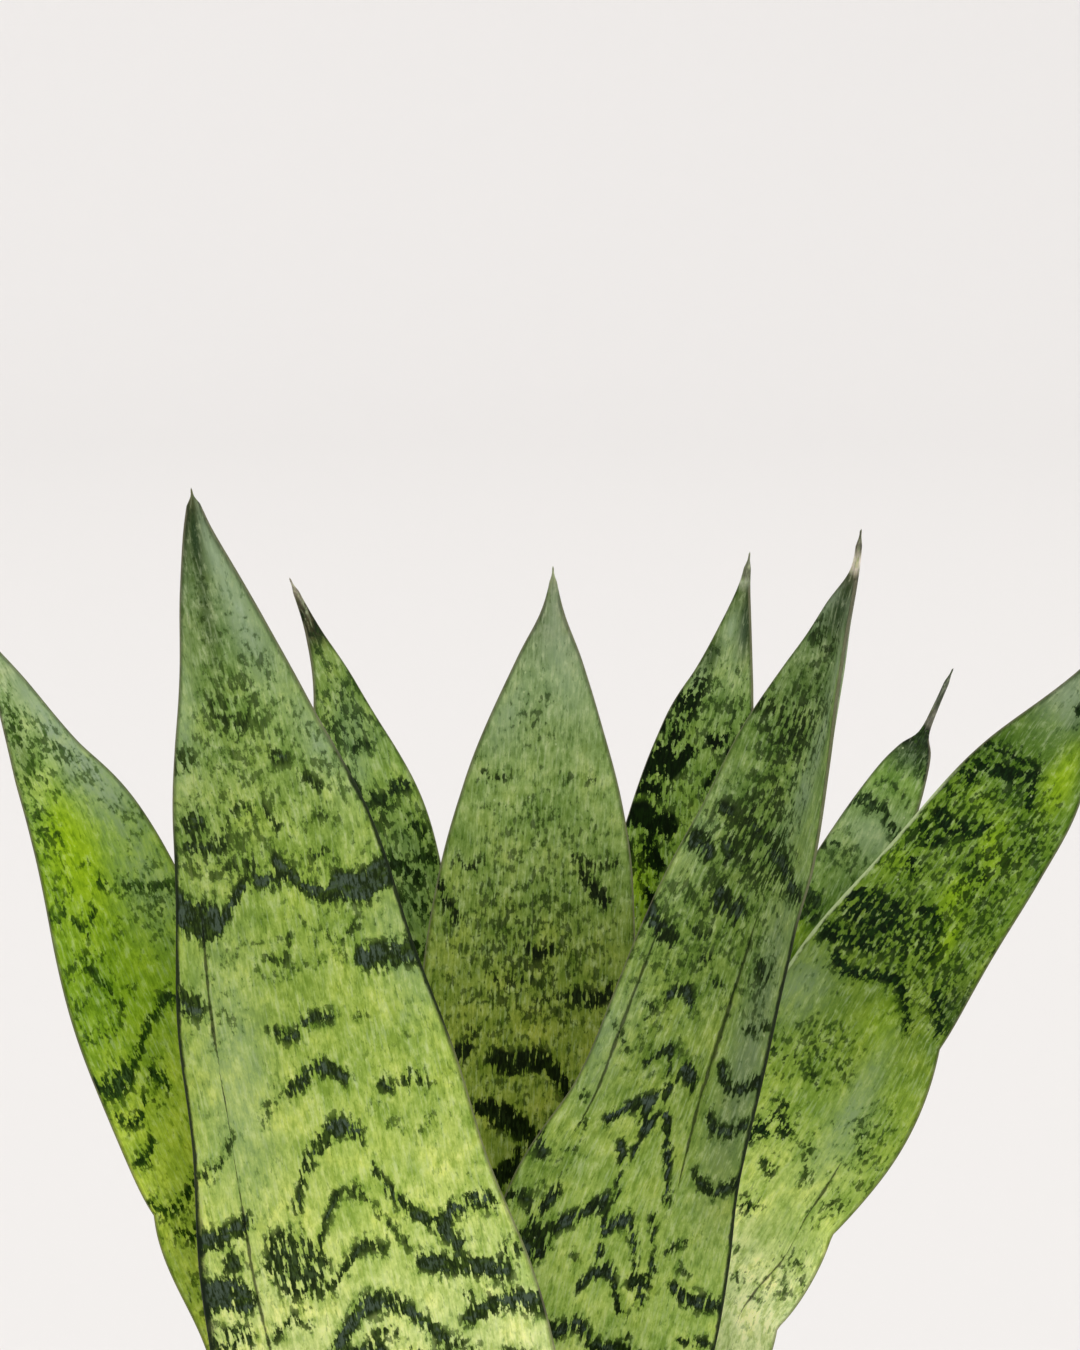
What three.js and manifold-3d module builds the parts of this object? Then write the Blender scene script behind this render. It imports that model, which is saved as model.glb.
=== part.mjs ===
// Potted zeylanica snake plant: eight upright channelled leaves that stand in potting soil
// in a plain round clay pot. Millimetres, +Z up. The origin is the centre of the pot's flat
// underside, and a viewer in front of the plant looks along +Y with +X to the right.

import * as THREE from 'three';
import { mergeVertices } from 'three/addons/utils/BufferGeometryUtils.js';
import Module from 'manifold-3d';

const wasm = await Module();
wasm.setup();

// Clear space between pieces that bear on each other, and round a leaf's foot in its hole.
const SEAT_GAP = 0.35;
const HOLE_GAP = 0.45;

// Pot: a tapered wall with a thicker collar at the top and a flat floor with drain holes.
const POT_HEIGHT = 135;
const POT_FOOT_RADIUS = 50;
const POT_WALL = 6.5;
const POT_FLOOR = 9;
const COLLAR_BOTTOM = 106;
const COLLAR_RADIUS = 76;
const COLLAR_STEP = 5;
const COLLAR_TAPER = 1.5;
const LIP_ROUND = 2;
const FOOT_CHAMFER = 1.5;
const ROUND_SIDES = 48;
const DRAIN_RADIUS = 4;
const DRAIN_CIRCLE = 30;
const DRAIN_COUNT = 4;
const DRAIN_SIDES = 16;

// Soil: it fills the pot to a little under the lip and is slightly raised at the middle.
const SOIL_LEVEL = 120.5;
const SOIL_FALL = 3;
const SOIL_RELIEF = 0.6;
const SOIL_RINGS = 5;
const CRUMB_SPANS = [6, 9, 7, 13];

// Leaves: how deep their feet stand in the soil, how thick the blades are, and the slow wave
// of their margins, which dies away where a blade's half width falls under WAVED_HALF_WIDTH.
const LEAF_BURIED = 18;
const EDGE_HALF_THICKNESS = 0.45;
const RIB_HALF_THICKNESS = [2.5, 2.0, 1.6, 1.2, 0.55];
const COLUMNS = [-1, -0.7, -0.35, 0, 0.35, 0.7, 1];
const ROWS_PER_STATION = 4;
const FOLD_ROUNDING = 0.2;
const WAVE_LENGTH = 46;
const SWING_SHARE = 0.5;
const WAVED_HALF_WIDTH = 8;
const COURSE_STEP = 0.05;

// One entry for each leaf. A station is [x, y, z, half width] on the midrib, from the soil to
// the tip. yaw turns the blade about its length and fold lifts its halves towards the viewer,
// both in degrees at even steps from the soil to the tip. wave is the swing of the margins,
// and a nick is [z, side, depth, reach] where a margin steps in.
const LEAVES = {
  leaf_front_left: {
    stations: [
      [-15, -24, 124, 12], [-14, -30.5, 150, 21.5], [-15, -36, 178, 32], [-19, -38.5, 203, 35.5],
      [-23, -39.5, 228, 34], [-30.7, -41, 265, 29], [-38.7, -43, 306, 23.7], [-43, -46, 332, 19.2],
      [-47.5, -50, 353, 14], [-51.4, -53, 370, 9], [-54, -57, 383, 5.3],
      [-55.6, -59.5, 391, 2.7], [-56.3, -61, 396, 1.3], [-56.8, -62, 400, 0.5],
    ],
    yaw: [-14, -2, 0, 3, 12],
    fold: [-20, -9, -7, -9, -26],
    wave: 0.8,
    nicks: [],
  },
  leaf_far_left: {
    stations: [
      [-31, -5, 124, 10.5], [-34, -9, 152, 13], [-37.5, -10.5, 188, 16.6], [-41, -11, 221, 17.6],
      [-52.4, -12.5, 252, 18.4], [-62.9, -14, 278, 18], [-73.2, -15.5, 305, 16],
      [-81.5, -17, 328, 11.8], [-88.5, -19, 342, 7.8], [-95.2, -21, 356, 4.1],
      [-99.5, -23, 365, 1.3], [-101.5, -24, 369, 0.5],
    ],
    yaw: [-24, -2, 14, 18, 24],
    fold: [32, 22, 16, 20, 30],
    wave: 0.7,
    nicks: [[256, -1, 1.8, 7]],
  },
  leaf_back_left: {
    stations: [
      [-21, 16, 124, 9.5], [-18, 20, 160, 13], [-14.5, 22.5, 205, 16], [-15.5, 25, 240, 16.6],
      [-18, 28, 266, 16.2], [-21.5, 31, 290, 15.4], [-25.2, 34, 314, 13],
      [-29.4, 37, 331, 10.2], [-33.6, 40, 347, 5.4], [-37.8, 42, 358, 2.2],
      [-40.8, 44.5, 365, 0.9], [-42.8, 46, 369.5, 0.5],
    ],
    yaw: [-12, 8, 20, 24, 30],
    fold: [30, 20, 14, 16, 28],
    wave: 0.6,
    nicks: [],
  },
  leaf_centre: {
    stations: [
      [-1, 3, 124, 11], [0, 5, 152, 15], [2.5, 6, 185, 20], [4, 6.5, 216, 22.4],
      [5.4, 7, 252, 23.6], [7, 7, 288, 22.8], [8.2, 6.5, 314, 20.4], [9.4, 6, 332, 16.2],
      [10.3, 5, 347, 11.4], [10.9, 4, 359, 6.8], [11.4, 3, 367.5, 2.8],
      [11.6, 3, 373, 1.1], [11.6, 2, 377.3, 0.5],
    ],
    yaw: [4, 0, -2, 0, 2],
    fold: [30, 22, 14, 12, 20],
    wave: 0.5,
    nicks: [],
  },
  leaf_back_right: {
    stations: [
      [5, 20, 124, 10.5], [10, 24, 160, 14.5], [21, 28, 205, 20], [29.5, 30.5, 242, 21.2],
      [35.8, 32.5, 268, 21.6], [40.4, 35, 294, 21], [42.6, 37, 322, 15.6], [44.9, 39, 338, 11],
      [47.8, 41, 349, 7.2], [50, 42.5, 360, 4], [51.6, 44, 369, 1.4], [52.4, 45, 375, 0.5],
    ],
    yaw: [10, -6, -22, -28, -34],
    fold: [30, 22, 16, 16, 30],
    wave: 0.6,
    nicks: [],
  },
  leaf_front_right: {
    stations: [
      [11, -16, 124, 11], [11.5, -15, 152, 17], [12.5, -15.5, 185, 24], [18.6, -17, 221, 26.6],
      [26.5, -19, 251, 25], [34.3, -21.5, 272, 20.6], [41.5, -24, 292, 18.9], [48.9, -27, 313, 18.2],
      [55.8, -30, 329, 17.2], [61.9, -35.5, 347, 14.2], [65.6, -41, 362, 10.2],
      [67.8, -45.5, 374, 5.2], [69.5, -49.5, 383, 1.2], [70.2, -52, 391, 0.5],
    ],
    yaw: [-14, -8, -23, -50, -52],
    fold: [26, 22, 30, 39, 42],
    wave: 0.6,
    nicks: [],
  },
  leaf_small_right: {
    stations: [
      [23, 13, 124, 8.5], [24.5, 13, 165, 9.8], [29.5, 12, 214, 11], [39.5, 11.5, 240, 10.8],
      [52.5, 13, 269, 10.8], [62, 16, 288.5, 10.6], [70, 19.5, 305, 10], [77.2, 23.5, 319.5, 8.2],
      [83, 27, 330.5, 5.8], [86.2, 29.5, 336, 3.7], [88, 31, 339.5, 1.2],
      [90.6, 33, 345, 0.6], [94, 36, 352, 0.5],
    ],
    yaw: [20, 4, -12, -20, -22],
    fold: [34, 22, 14, 12, 20],
    wave: 0.4,
    nicks: [],
  },
  leaf_far_right: {
    stations: [
      [28, -4, 124, 10.5], [30, -2, 152, 13.4], [34, -0.5, 188, 16.4], [40.7, 0, 222, 17.6],
      [52.3, 0.5, 246, 19.2], [64.3, 1, 267, 20.7], [75.5, 0.5, 288, 18.8], [86.7, -1, 306, 16.4],
      [97.7, -3, 323, 14.2], [106.7, -5, 335.5, 11.8], [115, -8, 348.5, 7.2],
      [121.7, -11, 360.5, 3], [126, -13, 369, 1.1], [128, -14, 373, 0.5],
    ],
    yaw: [28, 2, -12, -16, -20],
    fold: [32, 24, 14, 12, 26],
    wave: 0.9,
    nicks: [[281, 1, 1.8, 8], [245, 1, 2, 8], [227, 1, 2.2, 7]],
  },
};

// Finishes: waxy leaf skin, dark soil and unglazed fired clay.
const LEAF_SKIN = { color: 0x6f8a3c, roughness: 0.45, metalness: 0 };
const DARK_SOIL = { color: 0x3a2a1e, roughness: 1, metalness: 0 };
const FIRED_CLAY = { color: 0xb5683f, roughness: 0.9, metalness: 0 };

// A smooth curve through evenly numbered rows of values, read at position s.
function along(rows, s) {
  const last = rows.length - 1;
  const i = Math.min(Math.floor(s), last - 1);
  const t = s - i;
  const [a, b, c, d] = [-1, 0, 1, 2].map((k) => rows[Math.min(Math.max(i + k, 0), last)]);
  return b.map((_, n) => 0.5 * (
    2 * b[n] + (c[n] - a[n]) * t
    + (2 * a[n] - 5 * b[n] + 4 * c[n] - d[n]) * t * t
    + (3 * b[n] - a[n] - 3 * c[n] + d[n]) * t * t * t));
}

// The same for a plain list of numbers spread evenly over a share from 0 to 1.
function spread(values, share) {
  return along(values.map((v) => [v]), share * (values.length - 1))[0];
}

// How far a margin moves sideways at a height: a slow wave less any nicks on that side.
function marginSwing(leaf, z, side) {
  let swing = SWING_SHARE * leaf.wave * Math.sin((2 * Math.PI * z) / WAVE_LENGTH + side);
  for (const [nickZ, nickSide, depth, reach] of leaf.nicks) {
    if (nickSide === side) {
      swing -= depth * Math.exp(-Math.abs(z - nickZ) / reach);
    }
  }
  return swing;
}

// One cross-section of a leaf at position s along its stations: the points of its front and
// back faces from the left margin to the right. grow thickens it evenly, for a hole.
function leafSection(leaf, s, grow = 0) {
  const [footX, footY, footZ, footHalf] = leaf.stations[0];
  const rows = [[footX, footY, footZ - LEAF_BURIED, footHalf], ...leaf.stations];
  const last = rows.length - 1;
  const share = Math.max(0, (s - 1) / (last - 1));
  const [x, y, z, half] = along(rows, s);
  const ahead = along(rows, Math.min(s + COURSE_STEP, last));
  const behind = along(rows, Math.max(s - COURSE_STEP, 0));
  const up = new THREE.Vector3(0, 0, 1);
  const course = new THREE.Vector3(...ahead.slice(0, 3)).sub(new THREE.Vector3(...behind.slice(0, 3)));
  const rise = up.lerp(course.normalize(), THREE.MathUtils.clamp(s - 1, 0, 1)).normalize();
  const yaw = THREE.MathUtils.degToRad(spread(leaf.yaw, share));
  const fold = THREE.MathUtils.degToRad(spread(leaf.fold, share));
  const across = new THREE.Vector3(Math.cos(yaw), Math.sin(yaw), 0);
  across.addScaledVector(rise, -across.dot(rise)).normalize();
  const facing = new THREE.Vector3().crossVectors(across, rise);
  const rib = spread(RIB_HALF_THICKNESS, share);
  const waveZ = Math.max(z, footZ);
  const calm = Math.min(1, half / WAVED_HALF_WIDTH);
  const section = { front: [], back: [] };
  for (const u of COLUMNS) {
    const reach = Math.abs(u);
    const side = Math.sign(u);
    const swing = marginSwing(leaf, waveZ, side) * reach * reach * calm;
    const out = half * reach * Math.cos(fold) + swing + grow * reach;
    const bend = Math.sqrt(reach * reach + FOLD_ROUNDING ** 2) - FOLD_ROUNDING;
    const wave = leaf.wave * Math.sin((2 * Math.PI * waveZ) / WAVE_LENGTH + 2 * side) * reach ** 3;
    const lift = half * bend * Math.sin(fold) + wave * calm;
    const thick = EDGE_HALF_THICKNESS + (rib - EDGE_HALF_THICKNESS) * (1 - reach * reach) + grow;
    const middle = new THREE.Vector3(x, y, z).addScaledVector(across, side * out);
    section.front.push(middle.clone().addScaledVector(facing, lift + thick));
    section.back.push(middle.clone().addScaledVector(facing, lift - thick));
  }
  return section;
}

// A closed solid through a list of cross-sections, with both faces split alike.
function bladeGeometry(sections) {
  const width = sections[0].front.length;
  const positions = [];
  for (const { front, back } of sections) {
    for (const point of [...front, ...back]) {
      positions.push(point.x, point.y, point.z);
    }
  }
  const front = (row, column) => row * 2 * width + column;
  const back = (row, column) => front(row, column) + width;
  const faces = [];
  const quad = (a, b, c, d) => faces.push(a, b, c, a, c, d);
  const end = sections.length - 1;
  const edge = width - 1;
  for (let row = 0; row < end; row += 1) {
    for (let column = 0; column < edge; column += 1) {
      quad(front(row, column), front(row, column + 1), front(row + 1, column + 1), front(row + 1, column));
      faces.push(back(row, column), back(row + 1, column + 1), back(row, column + 1));
      faces.push(back(row, column), back(row + 1, column), back(row + 1, column + 1));
    }
    quad(front(row, edge), back(row, edge), back(row + 1, edge), front(row + 1, edge));
    quad(back(row, 0), front(row, 0), front(row + 1, 0), back(row + 1, 0));
  }
  for (let column = 0; column < edge; column += 1) {
    quad(back(0, column), back(0, column + 1), front(0, column + 1), front(0, column));
    quad(front(end, column), front(end, column + 1), back(end, column + 1), back(end, column));
  }
  const geometry = new THREE.BufferGeometry();
  geometry.setAttribute('position', new THREE.Float32BufferAttribute(positions, 3));
  geometry.setIndex(faces);
  return geometry;
}

function leafGeometry(leaf) {
  const last = leaf.stations.length;
  const sections = [leafSection(leaf, 0)];
  for (let k = 0; k <= (last - 1) * ROWS_PER_STATION; k += 1) {
    sections.push(leafSection(leaf, 1 + k / ROWS_PER_STATION));
  }
  return bladeGeometry(sections);
}

// The straight hole that a leaf's foot stands in, run up past the top of the soil.
function footHole(leaf) {
  const bottom = leafSection(leaf, 0, HOLE_GAP);
  const top = leafSection(leaf, 0, HOLE_GAP);
  for (const point of [...bottom.front, ...bottom.back]) {
    point.z -= SEAT_GAP;
  }
  for (const point of [...top.front, ...top.back]) {
    point.z += LEAF_BURIED + SEAT_GAP;
  }
  return bladeGeometry([bottom, top]);
}

// Vertices nearer than this are one vertex.
const MERGE_DISTANCE = 1e-4;

// Conversions between a geometry and a solid that can be cut.
function toSolid(geometry) {
  const plain = geometry.clone();
  plain.deleteAttribute('normal');
  plain.deleteAttribute('uv');
  const merged = mergeVertices(plain, MERGE_DISTANCE);
  const index = merged.getIndex().array;
  const kept = [];
  for (let k = 0; k < index.length; k += 3) {
    const [a, b, c] = index.slice(k, k + 3);
    if (a !== b && b !== c && c !== a) {
      kept.push(a, b, c);
    }
  }
  const vertProperties = new Float32Array(merged.getAttribute('position').array);
  return new wasm.Manifold(new wasm.Mesh({ numProp: 3, vertProperties, triVerts: new Uint32Array(kept) }));
}

function fromSolid(solid) {
  const mesh = solid.getMesh();
  const geometry = new THREE.BufferGeometry();
  geometry.setAttribute('position', new THREE.Float32BufferAttribute(mesh.vertProperties, 3));
  geometry.setIndex(Array.from(mesh.triVerts));
  return geometry;
}

// A profile of [radius, height] pairs from axis to axis, turned about +Z.
function turned(profile) {
  const points = profile.map(([radius, height]) => new THREE.Vector2(radius, height));
  const geometry = new THREE.LatheGeometry(points, ROUND_SIDES);
  geometry.rotateX(Math.PI / 2);
  return geometry;
}

// Inner radius of the pot's wall at a height.
const POT_SLOPE = (COLLAR_RADIUS - COLLAR_STEP - POT_FOOT_RADIUS) / COLLAR_BOTTOM;
function innerRadius(height) {
  return POT_FOOT_RADIUS - POT_WALL + POT_SLOPE * Math.min(height, COLLAR_BOTTOM + COLLAR_STEP);
}

function potGeometry() {
  const neck = COLLAR_RADIUS - COLLAR_STEP;
  const top = COLLAR_RADIUS;
  const inside = innerRadius(POT_HEIGHT);
  const outline = [
    [0, 0],
    [POT_FOOT_RADIUS - FOOT_CHAMFER, 0],
    [POT_FOOT_RADIUS, FOOT_CHAMFER],
    [neck, COLLAR_BOTTOM],
    [top - COLLAR_TAPER, COLLAR_BOTTOM + LIP_ROUND],
    [top, POT_HEIGHT - LIP_ROUND],
    [top - LIP_ROUND, POT_HEIGHT],
    [inside + LIP_ROUND, POT_HEIGHT],
    [inside, POT_HEIGHT - LIP_ROUND],
    [inside, COLLAR_BOTTOM + COLLAR_STEP],
    [innerRadius(POT_FLOOR), POT_FLOOR],
    [0, POT_FLOOR],
  ];
  let pot = toSolid(turned(outline));
  const drain = new THREE.CylinderGeometry(DRAIN_RADIUS, DRAIN_RADIUS, 3 * POT_FLOOR, DRAIN_SIDES);
  drain.rotateX(Math.PI / 2);
  for (let k = 0; k < DRAIN_COUNT; k += 1) {
    const angle = (2 * Math.PI * (k + 0.5)) / DRAIN_COUNT;
    const hole = drain.clone();
    hole.translate(DRAIN_CIRCLE * Math.cos(angle), DRAIN_CIRCLE * Math.sin(angle), 0);
    pot = pot.subtract(toSolid(hole));
  }
  return fromSolid(pot);
}

// Height of the soil's crumbly top at a place on it.
function soilHeight(x, y, radius) {
  const fall = SOIL_FALL * (Math.hypot(x, y) / radius) ** 2;
  const [a, b, c, d] = CRUMB_SPANS;
  return SOIL_LEVEL - fall + SOIL_RELIEF * Math.sin(x / a + y / b) * Math.cos(y / c - x / d);
}

function soilGeometry() {
  const edge = innerRadius(SOIL_LEVEL) - SEAT_GAP;
  const floor = POT_FLOOR + SEAT_GAP;
  const shoulder = COLLAR_BOTTOM + COLLAR_STEP;
  const outline = [
    [0, floor],
    [innerRadius(floor) - SEAT_GAP, floor],
    [innerRadius(shoulder) - SEAT_GAP, shoulder],
  ];
  for (let ring = SOIL_RINGS; ring >= 0; ring -= 1) {
    outline.push([(edge * ring) / SOIL_RINGS, SOIL_LEVEL]);
  }
  const geometry = turned(outline);
  const position = geometry.getAttribute('position');
  for (let k = 0; k < position.count; k += 1) {
    if (position.getZ(k) > SOIL_LEVEL - SEAT_GAP) {
      position.setZ(k, soilHeight(position.getX(k), position.getY(k), edge));
    }
  }
  let soil = toSolid(geometry);
  for (const leaf of Object.values(LEAVES)) {
    soil = soil.subtract(toSolid(footHole(leaf)));
  }
  return fromSolid(soil);
}

function piece(name, geometry, finish) {
  const mesh = new THREE.Mesh(geometry, new THREE.MeshStandardMaterial(finish));
  mesh.name = name;
  return mesh;
}

const plant = new THREE.Group();
plant.add(piece('pot', potGeometry(), FIRED_CLAY));
plant.add(piece('soil', soilGeometry(), DARK_SOIL));
for (const [name, leaf] of Object.entries(LEAVES)) {
  plant.add(piece(name, leafGeometry(leaf), LEAF_SKIN));
}

export default plant;
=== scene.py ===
import math
import random

import bmesh
import bpy
import numpy as np
from mathutils import Euler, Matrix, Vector, noise


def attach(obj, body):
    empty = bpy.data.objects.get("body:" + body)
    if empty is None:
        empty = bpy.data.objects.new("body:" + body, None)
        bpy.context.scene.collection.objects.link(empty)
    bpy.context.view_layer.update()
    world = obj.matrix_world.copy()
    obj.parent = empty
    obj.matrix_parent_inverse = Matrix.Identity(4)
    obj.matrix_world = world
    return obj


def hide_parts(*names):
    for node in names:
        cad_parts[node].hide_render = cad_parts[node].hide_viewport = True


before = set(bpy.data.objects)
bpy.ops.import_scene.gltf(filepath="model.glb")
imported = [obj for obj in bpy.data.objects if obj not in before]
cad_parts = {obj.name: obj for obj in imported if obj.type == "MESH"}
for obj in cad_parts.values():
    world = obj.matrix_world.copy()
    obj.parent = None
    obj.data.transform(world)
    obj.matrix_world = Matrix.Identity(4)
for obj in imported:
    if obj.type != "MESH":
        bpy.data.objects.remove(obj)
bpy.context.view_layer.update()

# Pot: a plain thrown flowerpot of unglazed red clay, with a thick collar round its mouth and
# four drain holes through its floor. It stands loose on the surface, and the soil and the
# roots fill it.
POT_HEIGHT = 135
POT_FOOT_RADIUS = 50
POT_WALL = 6.5
POT_FLOOR = 9
COLLAR_BOTTOM = 106
COLLAR_RADIUS = 76
COLLAR_STEP = 5
COLLAR_TAPER = 1.5
LIP_ROUND = 2
COLLAR_ROUND = 2
COLLAR_ROOT_ROUND = 0.8
COLLAR_UNDERCUT = 0.6
FLOOR_ROUND = 4
FOOT_CHAMFER = 1.5
DRAIN_RADIUS = 4
DRAIN_CIRCLE = 30
DRAIN_COUNT = 4
DRILL_SPARE = 2
DRILL_SIDES = 40
POT_SIDES = 192
POT_RING_STEP = 1.6
POT_WOBBLE = 0.25
WOBBLE_LOBES = 3
WOBBLE_SPAN = 7
CORNER_STEPS = 7
CLAY_RED = (190, 104, 66)
CLAY_PALE = (208, 138, 102)
CLAY_DEEP = (150, 76, 48)
CLAY_BLOOM = (222, 202, 186)
CLAY_GRAIN = 900.0
CLAY_GRIT = 420.0
CLAY_CLOUDS = 28.0
BLOOM_SPOTS = 70.0
THROWING_RINGS = (4, 4, 260)


def paint(red, green, blue):
    """A colour as it looks on screen, 0 to 255, as the linear colour that a shader takes."""
    def linear(value):
        value = min(255, value) / 255
        return value / 12.92 if value <= 0.04045 else ((value + 0.055) / 1.055) ** 2.4
    return (linear(red), linear(green), linear(blue), 1)


def make_piece(name, points, faces, slot=None):
    """A mesh object from points in millimetres. With a slot it belongs to the plant in its pot."""
    mesh = bpy.data.meshes.new(name)
    mesh.from_pydata((np.asarray(points) / 1000).tolist(), [], faces)
    mesh.validate()
    mesh.shade_smooth()
    piece = bpy.data.objects.new(name, mesh)
    bpy.context.scene.collection.objects.link(piece)
    if slot:
        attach(piece, "root")
    return piece


def node_maker(tree):
    """A function that adds a node to a tree: its type, its settings, and its inputs by name."""
    def add(kind, settings=None, **inputs):
        node = tree.nodes.new("ShaderNode" + kind)
        for key, value in (settings or {}).items():
            setattr(node, key, value)
        for key, value in inputs.items():
            socket = node.inputs[int(key[1:]) if key[1:].isdigit() else key]
            if isinstance(value, bpy.types.NodeSocket):
                tree.links.new(value, socket)
            else:
                socket.default_value = value
        return node
    add.links = tree.links
    return add


def new_material(name):
    """A new material with its shader, and a function that adds nodes to it."""
    material = bpy.data.materials.new(name)
    material.use_nodes = True
    tree = material.node_tree
    return material, tree.nodes["Principled BSDF"], node_maker(tree)


def math_node(add, operation, a, b=0.0, c=0.0):
    """The output of a Math node."""
    return add("Math", {"operation": operation}, i0=a, i1=b, i2=c).outputs[0]


def blend_colours(add, share, a, b, kind="MIX"):
    """The output of a colour Mix node."""
    return add("Mix", {"data_type": "RGBA", "blend_type": kind}, i0=share, i6=a, i7=b).outputs[2]


def ease(add, value, low, high, most=1.0):
    """0 below low, most above high, and smooth in between. low may be the higher of the two."""
    node = add("MapRange", {"interpolation_type": "SMOOTHSTEP"}, Value=value)
    node.inputs["From Min"].default_value = low
    node.inputs["From Max"].default_value = high
    node.inputs["To Max"].default_value = most
    return node.outputs[0]


def noise_at(add, place, scale, detail=3.0, roughness=0.6):
    """The output of a noise whose features are 1 / scale across."""
    node = add("TexNoise", Vector=place, Scale=scale, Detail=detail, Roughness=roughness)
    return node.outputs["Fac"]


def join(add, shader, colour, roughness, relief, strength, depth):
    """Joins a colour, a roughness and a relief so many metres deep to a material's shader."""
    bump = add("Bump", Strength=strength, Distance=depth, Height=relief)
    add.links.new(colour, shader.inputs["Base Color"])
    add.links.new(roughness, shader.inputs["Roughness"])
    add.links.new(bump.outputs[0], shader.inputs["Normal"])


def rounded_profile(corners):
    """[radius, height, rounding] corners as a fine outline with round corners."""
    outline = []
    for k, (radius, height, rounding) in enumerate(corners):
        here = np.array([radius, height], float)
        if rounding == 0:
            outline.append(here)
            continue
        before = np.array(corners[k - 1][:2], float) - here
        after = np.array(corners[k + 1][:2], float) - here
        start = here + rounding * before / np.linalg.norm(before)
        end = here + rounding * after / np.linalg.norm(after)
        for t in np.linspace(0, 1, CORNER_STEPS):
            outline.append((1 - t) ** 2 * start + 2 * t * (1 - t) * here + t * t * end)
    fine = [outline[0]]
    for point in outline[1:]:
        steps = max(1, int(np.linalg.norm(point - fine[-1]) / POT_RING_STEP))
        last = fine[-1]
        fine += [last + (point - last) * (k + 1) / steps for k in range(steps)]
    return np.array(fine)


def circle(radius, sides):
    """Places evenly round a circle."""
    angles = [2 * math.pi * k / sides for k in range(sides)]
    return [(radius * math.cos(angle), radius * math.sin(angle)) for angle in angles]


def turned_faces(rings, sides):
    """Faces of a turned shape whose points are its start, its rings, and its end."""
    last = 1 + (rings - 1) * sides
    faces = []
    for k in range(sides):
        after = (k + 1) % sides
        faces.append((0, 1 + after, 1 + k))
        for low in range(1, last, sides):
            faces.append((low + k, low + after, low + sides + after, low + sides + k))
        faces.append((last + k, last + after, last + sides))
    return faces


def turn(outline, sides, wobble=0.0):
    """Points and faces of an outline turned about the vertical from axis to axis."""
    angles = np.arange(sides) * 2 * math.pi / sides
    points = [(0, 0, outline[0][1])]
    for radius, height in outline[1:-1]:
        for angle in angles:
            x, y = math.cos(angle), math.sin(angle)
            lift = wobble * noise.noise((WOBBLE_LOBES * x, WOBBLE_LOBES * y, height / WOBBLE_SPAN))
            points.append(((radius + lift) * x, (radius + lift) * y, height))
    points.append((0, 0, outline[-1][1]))
    return points, turned_faces(len(outline) - 2, sides)


POT_SLOPE = (COLLAR_RADIUS - COLLAR_STEP - POT_FOOT_RADIUS) / COLLAR_BOTTOM


def pot_inside(height):
    """Inner radius of the pot's wall at a height."""
    return POT_FOOT_RADIUS - POT_WALL + POT_SLOPE * min(height, COLLAR_BOTTOM + COLLAR_STEP)


pot_corners = [
    (0, 0, 0),
    (POT_FOOT_RADIUS, 0, FOOT_CHAMFER),
    (COLLAR_RADIUS - COLLAR_STEP, COLLAR_BOTTOM, COLLAR_ROOT_ROUND),
    (COLLAR_RADIUS - COLLAR_TAPER, COLLAR_BOTTOM + COLLAR_UNDERCUT, COLLAR_ROUND),
    (COLLAR_RADIUS, POT_HEIGHT, LIP_ROUND),
    (pot_inside(POT_HEIGHT), POT_HEIGHT, LIP_ROUND),
    (pot_inside(POT_HEIGHT), COLLAR_BOTTOM + COLLAR_STEP, COLLAR_ROUND),
    (pot_inside(POT_FLOOR), POT_FLOOR, FLOOR_ROUND),
    (0, POT_FLOOR, 0),
]
pot = make_piece("clay_pot", *turn(rounded_profile(pot_corners), POT_SIDES, POT_WOBBLE), slot="clay")
drill_bottom, drill_top = -DRILL_SPARE, POT_FLOOR + DRILL_SPARE
drill_outline = [(0, drill_bottom), (DRAIN_RADIUS, drill_bottom), (DRAIN_RADIUS, drill_top), (0, drill_top)]
for k in range(DRAIN_COUNT):
    angle = 2 * math.pi * (k + 0.5) / DRAIN_COUNT
    points, faces = turn(drill_outline, DRILL_SIDES)
    shift = np.array([DRAIN_CIRCLE * math.cos(angle), DRAIN_CIRCLE * math.sin(angle), 0])
    drill = make_piece("drill", np.array(points) + shift, faces)
    cut = pot.modifiers.new("drain", "BOOLEAN")
    cut.operation = "DIFFERENCE"
    cut.object = drill
    with bpy.context.temp_override(object=pot, active_object=pot):
        bpy.ops.object.modifier_apply(modifier="drain")
    bpy.data.objects.remove(drill)
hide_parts("pot")

clay, shader, add = new_material("fired_clay")
place = add("TexCoord").outputs["Object"]
height = add("SeparateXYZ", Vector=place).outputs["Z"]
grain = noise_at(add, place, CLAY_GRAIN, 3.0, 0.7)
grit = add("TexVoronoi", Vector=place, Scale=CLAY_GRIT).outputs["Distance"]
rings = noise_at(add, add("Mapping", Vector=place, Scale=THROWING_RINGS).outputs[0], 1.0, 4.0)
cloud = ease(add, noise_at(add, place, CLAY_CLOUDS, 5.0), 0.32, 0.7)
colour = blend_colours(add, cloud, paint(*CLAY_RED), paint(*CLAY_PALE))
colour = blend_colours(add, ease(add, rings, 0.5, 0.75, 0.35), colour, paint(*CLAY_DEEP))
colour = blend_colours(add, ease(add, grain, 0.56, 0.75, 0.4), colour, paint(*CLAY_DEEP))
colour = blend_colours(add, ease(add, grit, 0.17, 0.08, 0.45), colour, paint(*CLAY_PALE))
foot_bloom = ease(add, height, 0.05, 0.0, 0.16)
mouth_bloom = ease(add, height, 0.118, 0.135, 0.11)
bloom = noise_at(add, place, BLOOM_SPOTS, 7.0, 0.68)
bloom = math_node(add, "ADD", bloom, math_node(add, "MAXIMUM", foot_bloom, mouth_bloom))
bloom = ease(add, bloom, 0.58, 0.78, 0.6)
colour = blend_colours(add, bloom, colour, paint(*CLAY_BLOOM))
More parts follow.
